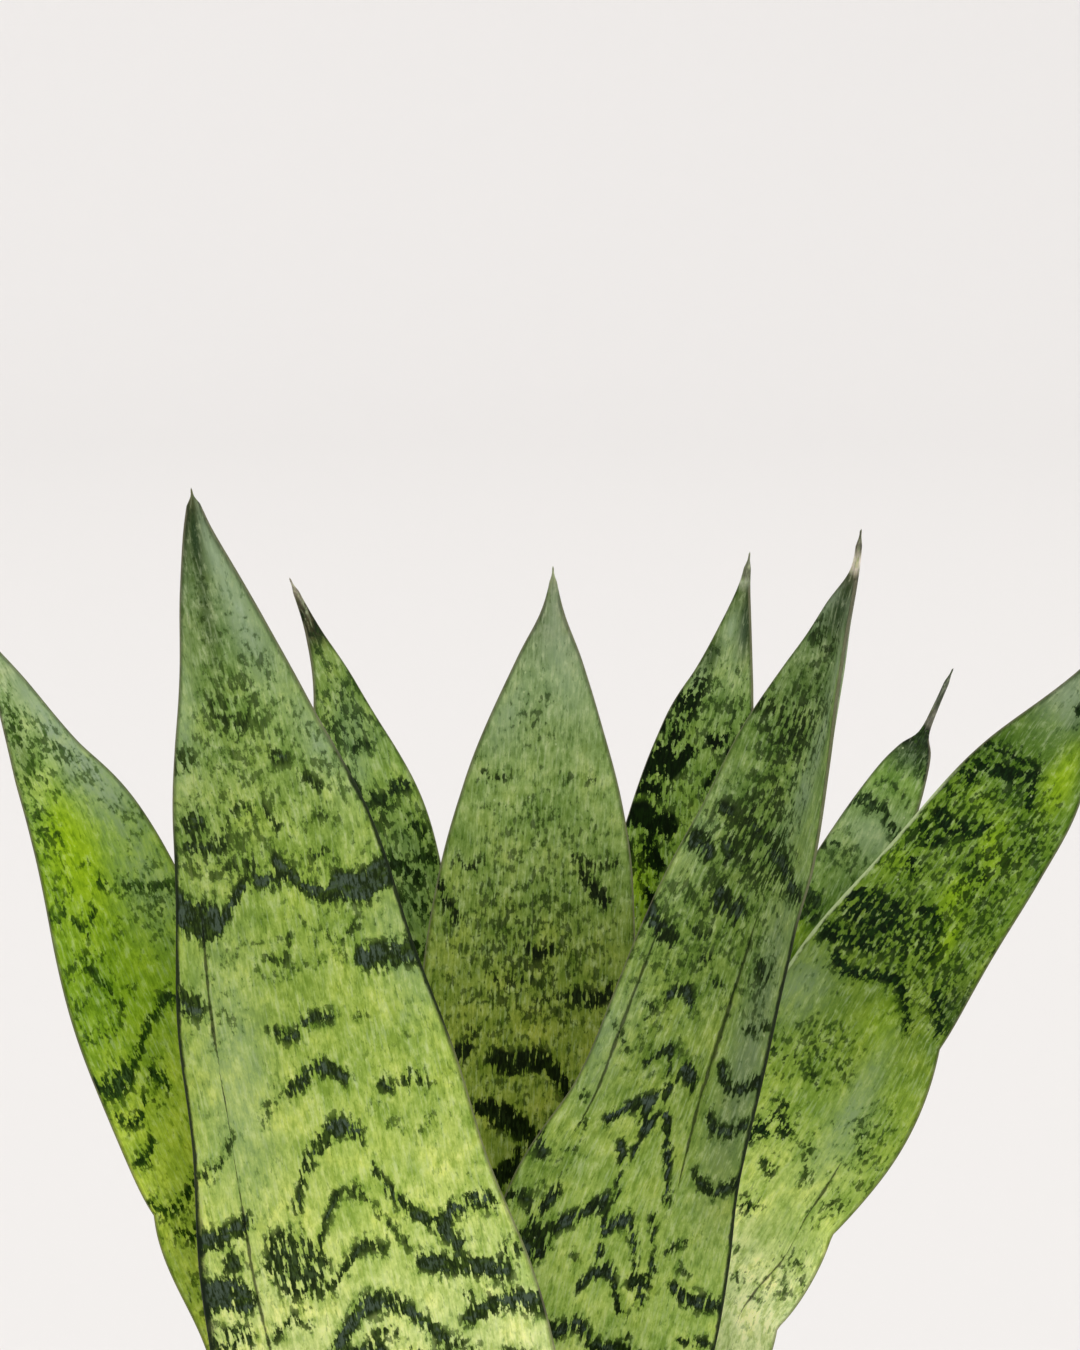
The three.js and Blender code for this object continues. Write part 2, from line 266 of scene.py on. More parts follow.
relief = math_node(add, "MULTIPLY_ADD", grain, 0.35, math_node(add, "MULTIPLY", rings, 0.9))
join(add, shader, colour, math_node(add, "MULTIPLY_ADD", bloom, 0.1, 0.82), relief, 0.5, 0.0006)
shader.inputs["Specular IOR Level"].default_value = 0.3
pot.data.materials.append(clay)

# Front left leaf: the broadest and tallest blade, nearly flat, that stands in front of the
# others. Like all of them it is one thick, stiff, waxy blade with a thin hard margin that
# grows from the creeping stem in the soil.
LEAF_BURIED = 18
EDGE_HALF_THICKNESS = 0.45
RIB_HALF_THICKNESS = [2.5, 2.0, 1.6, 1.2, 0.55]
FOLD_ROUNDING = 0.2
WAVE_LENGTH = 46
SWING_SHARE = 0.5
WAVED_HALF_WIDTH = 8
UNDULATION = 0.28
ROLL_LENGTH, ROLL_LEAN = 9, 2.2
SWAY_LENGTH, SWAY_LEAN = 17, 3
TIP_TAPER = 3
TIP_LEAST = 0.35
TIP_CAP = 0.5
COURSE_STEP = 0.05
COURSE_SAMPLES = 2000
BLADE_ROWS = 230
BLADE_COLUMNS = 49
ROW_CROWDING = 1.25
RIM = 0.5
RIM_SHARE = 0.4
RIM_STEPS = [0, 0.08, 0.3, 0.62]
FLAT_STRIP = 0.47
FLAT_GUTTER = 0.015
BAND_CORE = -2.7
BAND_FADE = 1.7
BAND_END_TAPER = 1.6
ZIGZAG = 3
ZIGZAG_BOW = 4
ZIGZAG_BREAK = 0.14
ZIGZAG_STEP = (0.08, 0.2)
ZIGZAG_THICKNESS = (3, 6)
ZIGZAG_STRENGTH = (0.75, 1)
ZIGZAG_SPACING = (7, 12)
NO_CREASE = [[0, 3, 0], [1, 3, 0]]
CREASE_LEAST_WIDTH = 0.02
THREAD_HALF_WIDTH = 1.8
LONGEST_LEAF = 300
RIM_FADE = (8, 4)
SPECK_SHARE = 0.55
BACK_SHIFT = 31.0
BAND_DARK = (38, 57, 12)
# Dark lines inside the margins, and painted shade along the creases.
DEEP_LINE_AND_CREASE_SHADE = (5, 13, 2)
# A painted grey reflection in the hearts of the bands.
BAND_REFLECTION_GREY = (76, 90, 82)
FIBRE_PALE = (204, 218, 172)
# Painted light on the blades: a glowing yellow-green where light shines through from behind, and a green of
# painted shade.
BACKLIGHT_GLOW_GREEN = (156, 190, 30)
PAINTED_SHADE_GREEN = (44, 66, 34)
# Waxy bloom with a painted sheen of reflected light.
WAX_BLOOM_AND_SHEEN = (158, 178, 144)
MARGIN_BROWN = (112, 108, 88)
# Pale pores and margins, and a painted rim of light along a margin.
PALE_PORE_AND_RIM_LIGHT = (186, 202, 150)
# Dark green margins with painted shadow where a blade lies over the leaves behind.
MARGIN_AND_SHADOW_GREEN = (16, 30, 12)
leaf_feet = []

# Each kind of mark on a blade multiplies the colour under it by one of these.
TINT_DARK = (0.66, 0.75, 0.58)
TINT_LIGHT = (1.34, 1.22, 1.2)
MOTTLE_DARK = (0.62, 0.7, 0.44)
MOTTLE_LIGHT = (1.3, 1.2, 1.3)
FIBRE_DARK = (0.62, 0.7, 0.55)
BROAD_DARK = (0.84, 0.9, 0.9)
SPECK_DARK = (0.3, 0.4, 0.26)
FUR_DARK = (0.34, 0.46, 0.24)
HALO_DARK = (0.42, 0.56, 0.36)
STREAK_DARK = (0.26, 0.3, 0.26)

# The grain of each kind of mark, in millimetres across the blade and along it.
DASH_GRAIN = (0.75, 4.8)
FLECK_GRAIN = (1.0, 1.8)
CLUMP_GRAIN = (4.0, 3.6)
STREAK_GRAIN = (0.6, 2.4)
FUR_GRAIN = (0.5, 3.4)
FIBRE_GRAIN = (0.5, 4.5)
BROAD_GRAIN = (2.6, 40.0)
MOTTLE_GRAIN = (1.5, 3.4)
TINT_GRAIN = (7.0, 9.0)
SPECK_GRAIN = (0.8, 2.4)
GATHER_GRAIN = (5.0, 6.0)
PORE_GRAIN = (2.4, 2.9)


def along(rows, s):
    """A smooth curve through evenly numbered rows of values, read at positions s."""
    rows = np.asarray(rows, float)
    last = len(rows) - 1
    i = np.minimum(np.floor(s).astype(int), last - 1)
    t = (s - i)[:, None]
    a, b, c, d = (rows[np.clip(i + k, 0, last)] for k in (-1, 0, 1, 2))
    bend = (2 * a - 5 * b + 4 * c - d) * t ** 2 + (3 * b - a - 3 * c + d) * t ** 3
    return 0.5 * (2 * b + (c - a) * t + bend)


def spread(values, share):
    """A smooth curve through a plain list of numbers spread evenly over a share from 0 to 1."""
    return along([[v] for v in values], share * (len(values) - 1))[:, 0]


def unit(vectors):
    """The vectors, each scaled to a length of 1."""
    return vectors / np.linalg.norm(vectors, axis=-1, keepdims=True)


def ease_numbers(value, low, high):
    """0 below low, 1 above high, and smooth in between, for arrays."""
    t = np.clip((value - low) / (high - low), 0, 1)
    return t * t * (3 - 2 * t)


def blade_rows(stations):
    """Positions along the stations, crowded towards the tip, and the distance from the tip."""
    buried = [*stations[0][:2], stations[0][2] - LEAF_BURIED, stations[0][3]]
    rows = np.array([buried, *stations], float)
    fine = np.linspace(0, len(rows) - 1, COURSE_SAMPLES)
    places = along(rows, fine)[:, :3]
    steps = np.linalg.norm(np.diff(places, axis=0), axis=1)
    from_tip = np.append(np.cumsum(steps[::-1])[::-1], 0)
    wanted = from_tip[0] * np.linspace(1, 0, BLADE_ROWS) ** ROW_CROWDING
    return rows, np.interp(wanted, from_tip[::-1], fine[::-1]), wanted


def wild_bands(start, end, left, right, seed):
    """Bands where the photograph shows none: broken zigzags across the blade, by a seeded draw."""
    draw = random.Random(seed)
    bands = []
    at = start
    while at < end:
        across = left
        while across < right:
            line = []
            while across < right and (len(line) < 2 or draw.random() > ZIGZAG_BREAK):
                line.append((across, at + ZIGZAG_BOW * across ** 2 + draw.uniform(-ZIGZAG, ZIGZAG)))
                across += draw.uniform(*ZIGZAG_STEP)
            if len(line) > 1:
                bands.append([draw.uniform(*ZIGZAG_THICKNESS), draw.uniform(*ZIGZAG_STRENGTH), *line])
        at += draw.uniform(*ZIGZAG_SPACING)
    return bands


def cover(bands, u, half, v):
    """How thickly the bands cover each place. A band is its thickness in millimetres, its
    strength, and the places that it zigzags through: (across from -1 to 1, below the tip)."""
    total = np.zeros(np.broadcast(u, v).shape)
    for thick, strength, *course in bands:
        course_u, course_v = np.array(course, float).T
        beside = np.maximum(course_u[0] - u, 0) + np.maximum(u - course_u[-1], 0)
        away = np.abs(v - np.interp(u, course_u, course_v)) - thick / 2 + BAND_END_TAPER * beside * half
        total = np.maximum(total, strength * (1 - ease_numbers(away, BAND_CORE, BAND_FADE)))
    return total


def patch(patches, u, v):
    """Soft round patches: [distance from the tip, place across, reach along, reach across, amount]."""
    total = np.zeros(np.broadcast(u, v).shape)
    for at, middle, long, wide, amount in patches:
        total += amount * np.exp(-(((v - at) / long) ** 2 + ((u - middle) / wide) ** 2))
    return total


def crease_offset(crease, u, half, v):
    """How far a place lies from a crease, in half widths of it. A crease is a line of [distance
    from the tip, place across, half width]."""
    at, middle, wide = np.array(crease, float).T
    width = np.interp(v, at, wide, left=0, right=0)
    return (u - np.interp(v, at, middle)) * half / np.maximum(width, CREASE_LEAST_WIDTH)


def blade_faces(count):
    """Faces of a blade from its loops of so many points and the one point at its tip."""
    faces = [tuple(range(count))[::-1]]
    for row in range(BLADE_ROWS - 1):
        for column in range(count):
            a, b = row * count + column, row * count + (column + 1) % count
            faces.append((a, b, b + count, a + count))
    top = (BLADE_ROWS - 1) * count
    for column in range(count):
        faces.append((top + column, top + (column + 1) % count, top + count))
    return faces


def wrap(front, back=None):
    """A value for each point of a blade, from the values of its front and, where they differ, of
    its back. The point at the tip takes the front's."""
    back = front if back is None else back
    flat = np.concatenate([front, back[:, -2:0:-1]], axis=1).ravel()
    return np.append(flat, front[-1, 1])


def grow_leaf(name, stations, yaw, fold, wave, seed, bands, clouds, backlight_and_shade, bloom, nicks=(), creases=()):
    """One blade as a closed mesh with its markings stored on its points. Its stations are [x, y,
    z, half width] from the soil to the tip. Its yaws and folds, in degrees, are spread evenly
    along it. A nick is [height, side, depth, reach]. The glow patches are painted light shining
    through the blade, and painted shade where their amount is negative; the bloom patches are
    waxy bloom with a painted sheen of reflected light."""
    rows, s, from_tip = blade_rows(stations)
    last = len(rows) - 1
    x, y, z, half = along(rows, s).T
    slim = np.clip(from_tip / TIP_TAPER, TIP_LEAST, 1)
    half = half * slim
    ahead = along(rows, np.minimum(s + COURSE_STEP, last))[:, :3]
    behind = along(rows, np.maximum(s - COURSE_STEP, 0))[:, :3]
    course = unit(ahead - behind)
    grown = np.clip(s - 1, 0, 1)[:, None]
    rise = unit((1 - grown) * np.array([0, 0, 1]) + grown * course)
    share = np.clip((s - 1) / (last - 1), 0, 1)
    turned = np.radians(spread(yaw, share))
    bend = np.radians(spread(fold, share))[:, None]
    rib = spread(RIB_HALF_THICKNESS, share)[:, None]
    across = np.stack([np.cos(turned), np.sin(turned), 0 * turned], axis=1)
    across = unit(across - rise * np.sum(across * rise, axis=1, keepdims=True))
    facing = np.cross(across, rise)
    rim = np.minimum(RIM, RIM_SHARE * half)[:, None] / half[:, None]
    inner = np.linspace(-1, 1, BLADE_COLUMNS)[None, :] * (1 - rim)
    outer = 1 - rim * np.array(RIM_STEPS)[None, :]
    u = np.concatenate([-outer, inner, outer[:, ::-1]], axis=1)
    reach, side = np.abs(u), np.sign(u)
    wave_z = np.maximum(z, stations[0][2])[:, None]
    swing = SWING_SHARE * wave * np.sin(2 * math.pi * wave_z / WAVE_LENGTH + side)
    for nick_z, nick_side, depth, long in nicks:
        swing = swing - (side == nick_side) * depth * np.exp(-np.abs(wave_z - nick_z) / long)
    calm = np.minimum(1, half / WAVED_HALF_WIDTH)[:, None]
    half = half[:, None]
    v = from_tip[:, None]
    out = half * reach * np.cos(bend) + swing * reach ** 2 * calm
    curve = np.sqrt(reach ** 2 + FOLD_ROUNDING ** 2) - FOLD_ROUNDING
    ripple = wave * np.sin(2 * math.pi * wave_z / WAVE_LENGTH + 2 * side) * reach ** 3
    lift = half * curve * np.sin(bend) + ripple * calm
    roll = np.sin(v / ROLL_LENGTH + ROLL_LEAN * u + seed)
    sway = np.cos(v / SWAY_LENGTH - SWAY_LEAN * u + seed)
    lift = lift + calm * UNDULATION * roll * sway
    to_margin = (1 - reach) * half
    round_edge = np.sqrt(np.clip(1 - (1 - to_margin / (rim * half)).clip(0, 1) ** 2, 0, 1))
    thick = (EDGE_HALF_THICKNESS + (rib - EDGE_HALF_THICKNESS) * (1 - reach ** 2)) * round_edge
    thick = thick * slim[:, None]
    middle = np.stack([x, y, z], axis=1)[:, None, :] + across[:, None, :] * (side * out)[..., None]
    front = middle + facing[:, None, :] * (lift + thick)[..., None]
    back = middle + facing[:, None, :] * (lift - thick)[..., None]
    wide = u.shape[1]
    loop = np.concatenate([front, back[:, -2:0:-1]], axis=1)
    count = loop.shape[1]
    points = np.concatenate([loop.reshape(-1, 3), [middle[-1].mean(axis=0) + TIP_CAP * rise[-1]]])
    leaf = make_piece(name + "_blade", points, blade_faces(count), slot="leaf")
    lines = [crease_offset(crease, u, half, v) for crease in [*creases, NO_CREASE, NO_CREASE][:2]]
    thickness = np.maximum(cover(bands, u, half, v), patch(clouds, u, v))
    from_margin = to_margin + np.maximum(THREAD_HALF_WIDTH - half, 0)
    stored = {
        "blade_place": (wrap(u * half), wrap(v + 0 * u), wrap(0 * u + 1, 0 * u - 1)),
        "blade_marks": (wrap(thickness), wrap(patch(backlight_and_shade, u, v)), wrap(from_margin)),
        "blade_lines": (wrap(lines[0]), wrap(lines[1]), wrap(patch(bloom, u, v))),
    }
    for key, columns in stored.items():
        attribute = leaf.data.attributes.new(key, "FLOAT_VECTOR", "POINT")
        attribute.data.foreach_set("vector", np.stack(columns, axis=1).astype(np.float32).ravel())
    lay_flat(leaf, count, wide)
    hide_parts(name)
    leaf_feet.append((stations[0], yaw[0]))
    return leaf


def lay_flat(leaf, count, wide):
    """A map of the blade laid flat, its front beside its back."""
    column = np.array([loop.vertex_index % count for loop in leaf.data.loops], float)
    row = np.array([loop.vertex_index // count for loop in leaf.data.loops], float)
    starts = [face.loop_start for face in leaf.data.polygons]
    sizes = [face.loop_total for face in leaf.data.polygons]
    start = column[np.repeat(starts, sizes)]
    on_back = start >= wide - 1
    column = np.where(on_back & (column == 0), count, column)
    across = np.where(on_back, (column - wide + 1) / (count - wide + 1), column / (wide - 1))
    flat_x = FLAT_GUTTER + across * FLAT_STRIP + on_back * (FLAT_STRIP + 2 * FLAT_GUTTER)
    flat_y = FLAT_GUTTER + np.minimum(row, BLADE_ROWS) / BLADE_ROWS * (1 - 2 * FLAT_GUTTER)
    layer = leaf.data.uv_layers.new(name="OFBake")
    layer.data.foreach_set("uv", np.stack([flat_x, flat_y], axis=1).astype(np.float32).ravel())


def group(name, inputs, outputs):
    """A new shader node group with named sockets: its tree, its input and output nodes."""
    tree = bpy.data.node_groups.new(name, "ShaderNodeTree")
    for socket, kind in inputs.items():
        tree.interface.new_socket(socket, in_out="INPUT", socket_type="NodeSocket" + kind)
    for socket, kind in outputs.items():
        tree.interface.new_socket(socket, in_out="OUTPUT", socket_type="NodeSocket" + kind)
    entry = tree.nodes.new("NodeGroupInput")
    leave = tree.nodes.new("NodeGroupOutput")
    return tree, entry.outputs, leave.inputs, node_maker(tree)


def stretched(add, place, seed, wide, long):
    """Coordinates on the blade whose unit is so many millimetres wide and long."""
    parts = add("SeparateXYZ", Vector=place).outputs
    shift = math_node(add, "MULTIPLY_ADD", parts["Z"], BACK_SHIFT, seed)
    x = math_node(add, "DIVIDE", parts["X"], wide)
    y = math_node(add, "DIVIDE", parts["Y"], long)
    return add("CombineXYZ", X=x, Y=y, Z=shift).outputs[0]


def grain_at(add, place, seed, grain, detail, roughness=0.6, scale=1.0):
    """A noise on the blade whose features are as wide and as long as its grain."""
    return noise_at(add, stretched(add, place, seed, *grain), scale, detail, roughness)


# Cross bands: short dark dashes along the blade that crowd together where the cover is thick.
bands, given, result, add = group(
    "CrossBands",
    {"Place": "Vector", "Cover": "Float", "Dash": "Float", "Fleck": "Float", "Seed": "Float"},
    {"Dark": "Float", "Halo": "Float", "Deep": "Float", "Core": "Float", "Fur": "Float"},
)
place, seed = given["Place"], given["Seed"]
dash = grain_at(add, place, seed, DASH_GRAIN, 2.0)
fleck = grain_at(add, place, seed, FLECK_GRAIN, 3.0)
clump = grain_at(add, place, seed, CLUMP_GRAIN, 3.0, 0.65)
thin = ease(add, given["Cover"], 0.75, 0.35)
dashes = math_node(add, "MULTIPLY", given["Dash"], math_node(add, "MULTIPLY_ADD", thin, -0.62, 1.0))
clumps = math_node(add, "MULTIPLY_ADD", thin, 1.5, 0.5)
flecks = math_node(add, "MULTIPLY", given["Fleck"], math_node(add, "MULTIPLY_ADD", thin, 0.4, 1.0))
rough = math_node(add, "MULTIPLY", math_node(add, "SUBTRACT", dash, 0.5), dashes)
rough = math_node(add, "MULTIPLY_ADD", math_node(add, "SUBTRACT", fleck, 0.5), flecks, rough)
rough = math_node(add, "MULTIPLY_ADD", math_node(add, "SUBTRACT", clump, 0.5), clumps, rough)
swell = ease(add, given["Cover"], -0.2, 0.3)
calm = math_node(add, "MULTIPLY_ADD", ease(add, given["Cover"], 0.6, 1.0), -0.35, swell)
total = math_node(add, "MULTIPLY_ADD", rough, calm, given["Cover"])
solid = math_node(add, "MULTIPLY_ADD", ease(add, given["Cover"], 0.2, 0.7), 0.42, 0.58)
add.links.new(math_node(add, "MULTIPLY", ease(add, total, 0.4, 0.64), solid), result["Dark"])
add.links.new(ease(add, total, 0.05, 0.6), result["Halo"])
streak = grain_at(add, place, seed, STREAK_GRAIN, 2.0, scale=1.3)
add.links.new(ease(add, streak, 0.36, 0.58), result["Deep"])
core = math_node(add, "MULTIPLY", ease(add, given["Cover"], 0.6, 0.9), ease(add, clump, 0.42, 0.56))
add.links.new(math_node(add, "MULTIPLY", core, ease(add, streak, 0.6, 0.42)), result["Core"])
fur = ease(add, grain_at(add, place, seed, FUR_GRAIN, 2.0), 0.46, 0.6)
fur = math_node(add, "MULTIPLY", fur, ease(add, clump, 0.4, 0.58))
add.links.new(math_node(add, "MULTIPLY", fur, ease(add, given["Cover"], 0.05, 0.34)), result["Fur"])

# Fibres: fine veins that run the length of the blade, mottling, clouds of tint, and pale pores.
fibres, given, result, add = group(
    "Fibres",
    {"Place": "Vector", "Seed": "Float"},
    {
        "Fine": "Float", "Broad": "Float", "Mottle": "Float", "Tint": "Float", "Flecks": "Float",
        "Pores": "Float",
    },
)
place, seed = given["Place"], given["Seed"]
add.links.new(grain_at(add, place, seed, FIBRE_GRAIN, 3.0), result["Fine"])
add.links.new(grain_at(add, place, seed, BROAD_GRAIN, 2.0), result["Broad"])
add.links.new(grain_at(add, place, seed, MOTTLE_GRAIN, 4.0, 0.68), result["Mottle"])
add.links.new(grain_at(add, place, seed, TINT_GRAIN, 4.0, 0.65), result["Tint"])
speck = grain_at(add, place, seed, SPECK_GRAIN, 2.0, scale=1.1)
gather = grain_at(add, place, seed, GATHER_GRAIN, 2.0)
speck = math_node(add, "MULTIPLY_ADD", gather, 0.5, speck)
add.links.new(ease(add, speck, 0.86, 0.96), result["Flecks"])
cells = add("TexVoronoi", Vector=stretched(add, place, seed, *PORE_GRAIN), Scale=1.0)
chosen = ease(add, add("SeparateColor", Color=cells.outputs["Color"]).outputs[0], 0.93, 0.95)
pore = math_node(add, "MULTIPLY", ease(add, cells.outputs["Distance"], 0.11, 0.05), chosen)
add.links.new(pore, result["Pores"])


def leaf_skin(leaf, name, seed, ground_and_light, dash=3.4, fleck=2.3, bands_dark=BAND_DARK, band_reflection=0.7, rims=()):
    """Gives a leaf its waxy skin. The ground is a list of (distance from the tip, colour) down the
    blade: the blade's own colour with painted light in it, lighter where painted light falls on
    the blade and where it shines through. dash and fleck say how ragged its bands are, and the
    band reflection how much painted grey reflection covers their hearts. The rims are the
    stretches of a margin with a line of another colour, lines of painted shadow and painted rims
    of light over the margin's own colour: (side, first and last distance from the tip, width,
    colour)."""
    material, shader, add = new_material(name)

    def stored(key):
        return add("Attribute", {"attribute_name": key}).outputs["Vector"]

    def shade(colour, share, times):
        return blend_colours(add, share, colour, (*times, 1), "MULTIPLY")

    def coat(colour, share, over):
        return blend_colours(add, share, colour, paint(*over))

    place = stored("blade_place")
    across, down, _ = add("SeparateXYZ", Vector=place).outputs
    thick, backlight_and_shade, edge = add("SeparateXYZ", Vector=stored("blade_marks")).outputs
    crease_one, crease_two, bloom = add("SeparateXYZ", Vector=stored("blade_lines")).outputs
    settings = {"Place": place, "Cover": thick, "Dash": dash, "Fleck": fleck, "Seed": seed}
    band = add("Group", {"node_tree": bands}, **settings).outputs
    fibre = add("Group", {"node_tree": fibres}, Place=place, Seed=seed).outputs
    tint, mottle, fine = fibre["Tint"], fibre["Mottle"], fibre["Fine"]

    ramp = add("ValToRGB", Fac=math_node(add, "DIVIDE", down, LONGEST_LEAF))
    stops = ramp.color_ramp.elements
    stops[0].position = ground_and_light[0][0] / LONGEST_LEAF
    stops[0].color = paint(*ground_and_light[0][1])
    stops[1].color = paint(*ground_and_light[-1][1])
    for at, colour in ground_and_light[1:]:
        stops.new(at / LONGEST_LEAF).color = paint(*colour)
    colour = ramp.outputs["Color"]

    colour = shade(colour, ease(add, tint, 0.46, 0.66, 0.85), TINT_DARK)
    colour = shade(colour, ease(add, tint, 0.49, 0.32, 0.8), TINT_LIGHT)
    # Painted light: a yellow-green glow of light shining through the blade, and painted shade where the
    # patches are negative.
    colour = coat(colour, ease(add, backlight_and_shade, 0.05, 0.95), BACKLIGHT_GLOW_GREEN)
    colour = coat(colour, ease(add, backlight_and_shade, -0.05, -0.95), PAINTED_SHADE_GREEN)
    colour = shade(colour, ease(add, mottle, 0.48, 0.62, 0.8), MOTTLE_DARK)
    colour = shade(colour, ease(add, mottle, 0.49, 0.36, 0.7), MOTTLE_LIGHT)
    colour = coat(colour, ease(add, mottle, 0.46, 0.32, 0.26), FIBRE_PALE)
    colour = shade(colour, ease(add, fine, 0.5, 0.66, 0.6), FIBRE_DARK)
    pale = math_node(add, "MULTIPLY", ease(add, fine, 0.48, 0.32, 0.24), ease(add, backlight_and_shade, 0.8, 0.1))
    colour = coat(colour, pale, FIBRE_PALE)
    colour = shade(colour, ease(add, fibre["Broad"], 0.5, 0.72, 0.5), BROAD_DARK)
    # Waxy bloom with a painted sheen: a pale grey-green standing in for reflected light.
    patchy = math_node(add, "MULTIPLY_ADD", tint, 0.9, -0.5)
    patchy = math_node(add, "MULTIPLY_ADD", mottle, 1.7, patchy)
    colour = coat(colour, math_node(add, "MULTIPLY", bloom, patchy), WAX_BLOOM_AND_SHEEN)
    colour = shade(colour, math_node(add, "MULTIPLY", fibre["Flecks"], SPECK_SHARE), SPECK_DARK)
    colour = shade(colour, math_node(add, "MULTIPLY", band["Fur"], 0.6), FUR_DARK)
    colour = shade(colour, math_node(add, "MULTIPLY", band["Halo"], 0.5), HALO_DARK)
    dark = shade(paint(*bands_dark), band["Deep"], STREAK_DARK)
    # A painted grey reflection over the hearts of the bands.
    dark = coat(dark, math_node(add, "MULTIPLY", band["Core"], band_reflection), BAND_REFLECTION_GREY)
    colour = blend_colours(add, band["Dark"], colour, dark)

    # A painted shade line along each crease, over the groove in the relief.
    crease_one = math_node(add, "ABSOLUTE", crease_one)
    crease = math_node(add, "MINIMUM", crease_one, math_node(add, "ABSOLUTE", crease_two))
    uneven = math_node(add, "MULTIPLY_ADD", mottle, 3.0, crease)
    colour = coat(colour, ease(add, uneven, 2.7, 1.8, 0.8), DEEP_LINE_AND_CREASE_SHADE)
    colour = coat(colour, ease(add, fibre["Pores"], 0.1, 0.6, 0.55), PALE_PORE_AND_RIM_LIGHT)
    line = math_node(add, "MULTIPLY_ADD", fibre["Broad"], 0.5, edge)
    colour = coat(colour, ease(add, line, 1.25, 0.75, 0.45), DEEP_LINE_AND_CREASE_SHADE)
    colour = coat(colour, ease(add, edge, 0.42, 0.2, 0.65), MARGIN_BROWN)
    # Lines along the margins: painted shadow where a blade lies over the leaves behind, and a painted rim
    # of light, each over the margin's own colour.
    outside, within = RIM_FADE
    for side, first, end, width, rim_colour in rims:
        inside = ease(add, across, 0.0, 0.5 * side)
        inside = math_node(add, "MULTIPLY", ease(add, down, first - outside, first + within), inside)
        inside = math_node(add, "MULTIPLY", ease(add, down, end + outside, end - within), inside)
        ragged = math_node(add, "MULTIPLY_ADD", mottle, 2 * width, edge)
        rim = math_node(add, "MULTIPLY", ease(add, ragged, 2.1 * width, 1.5 * width, 0.92), inside)
        colour = coat(colour, rim, rim_colour)
    shine = math_node(add, "MULTIPLY_ADD", fine, 0.14, 0.36)
    shine = math_node(add, "MULTIPLY_ADD", bloom, 0.16, shine)
    relief = math_node(add, "MULTIPLY_ADD", band["Halo"], -0.15, fine)
    relief = math_node(add, "MULTIPLY_ADD", ease(add, crease, 2.5, 0.0), -1.4, relief)
    join(add, shader, colour, shine, relief, 0.35, 0.0003)
    shader.inputs["Specular IOR Level"].default_value = 0.08
    shader.inputs["Subsurface Weight"].default_value = 0.1
    shader.inputs["Subsurface Radius"].default_value = (1.0, 1.4, 0.3)
    shader.inputs["Subsurface Scale"].default_value = 0.0015
    leaf.data.materials.append(material)


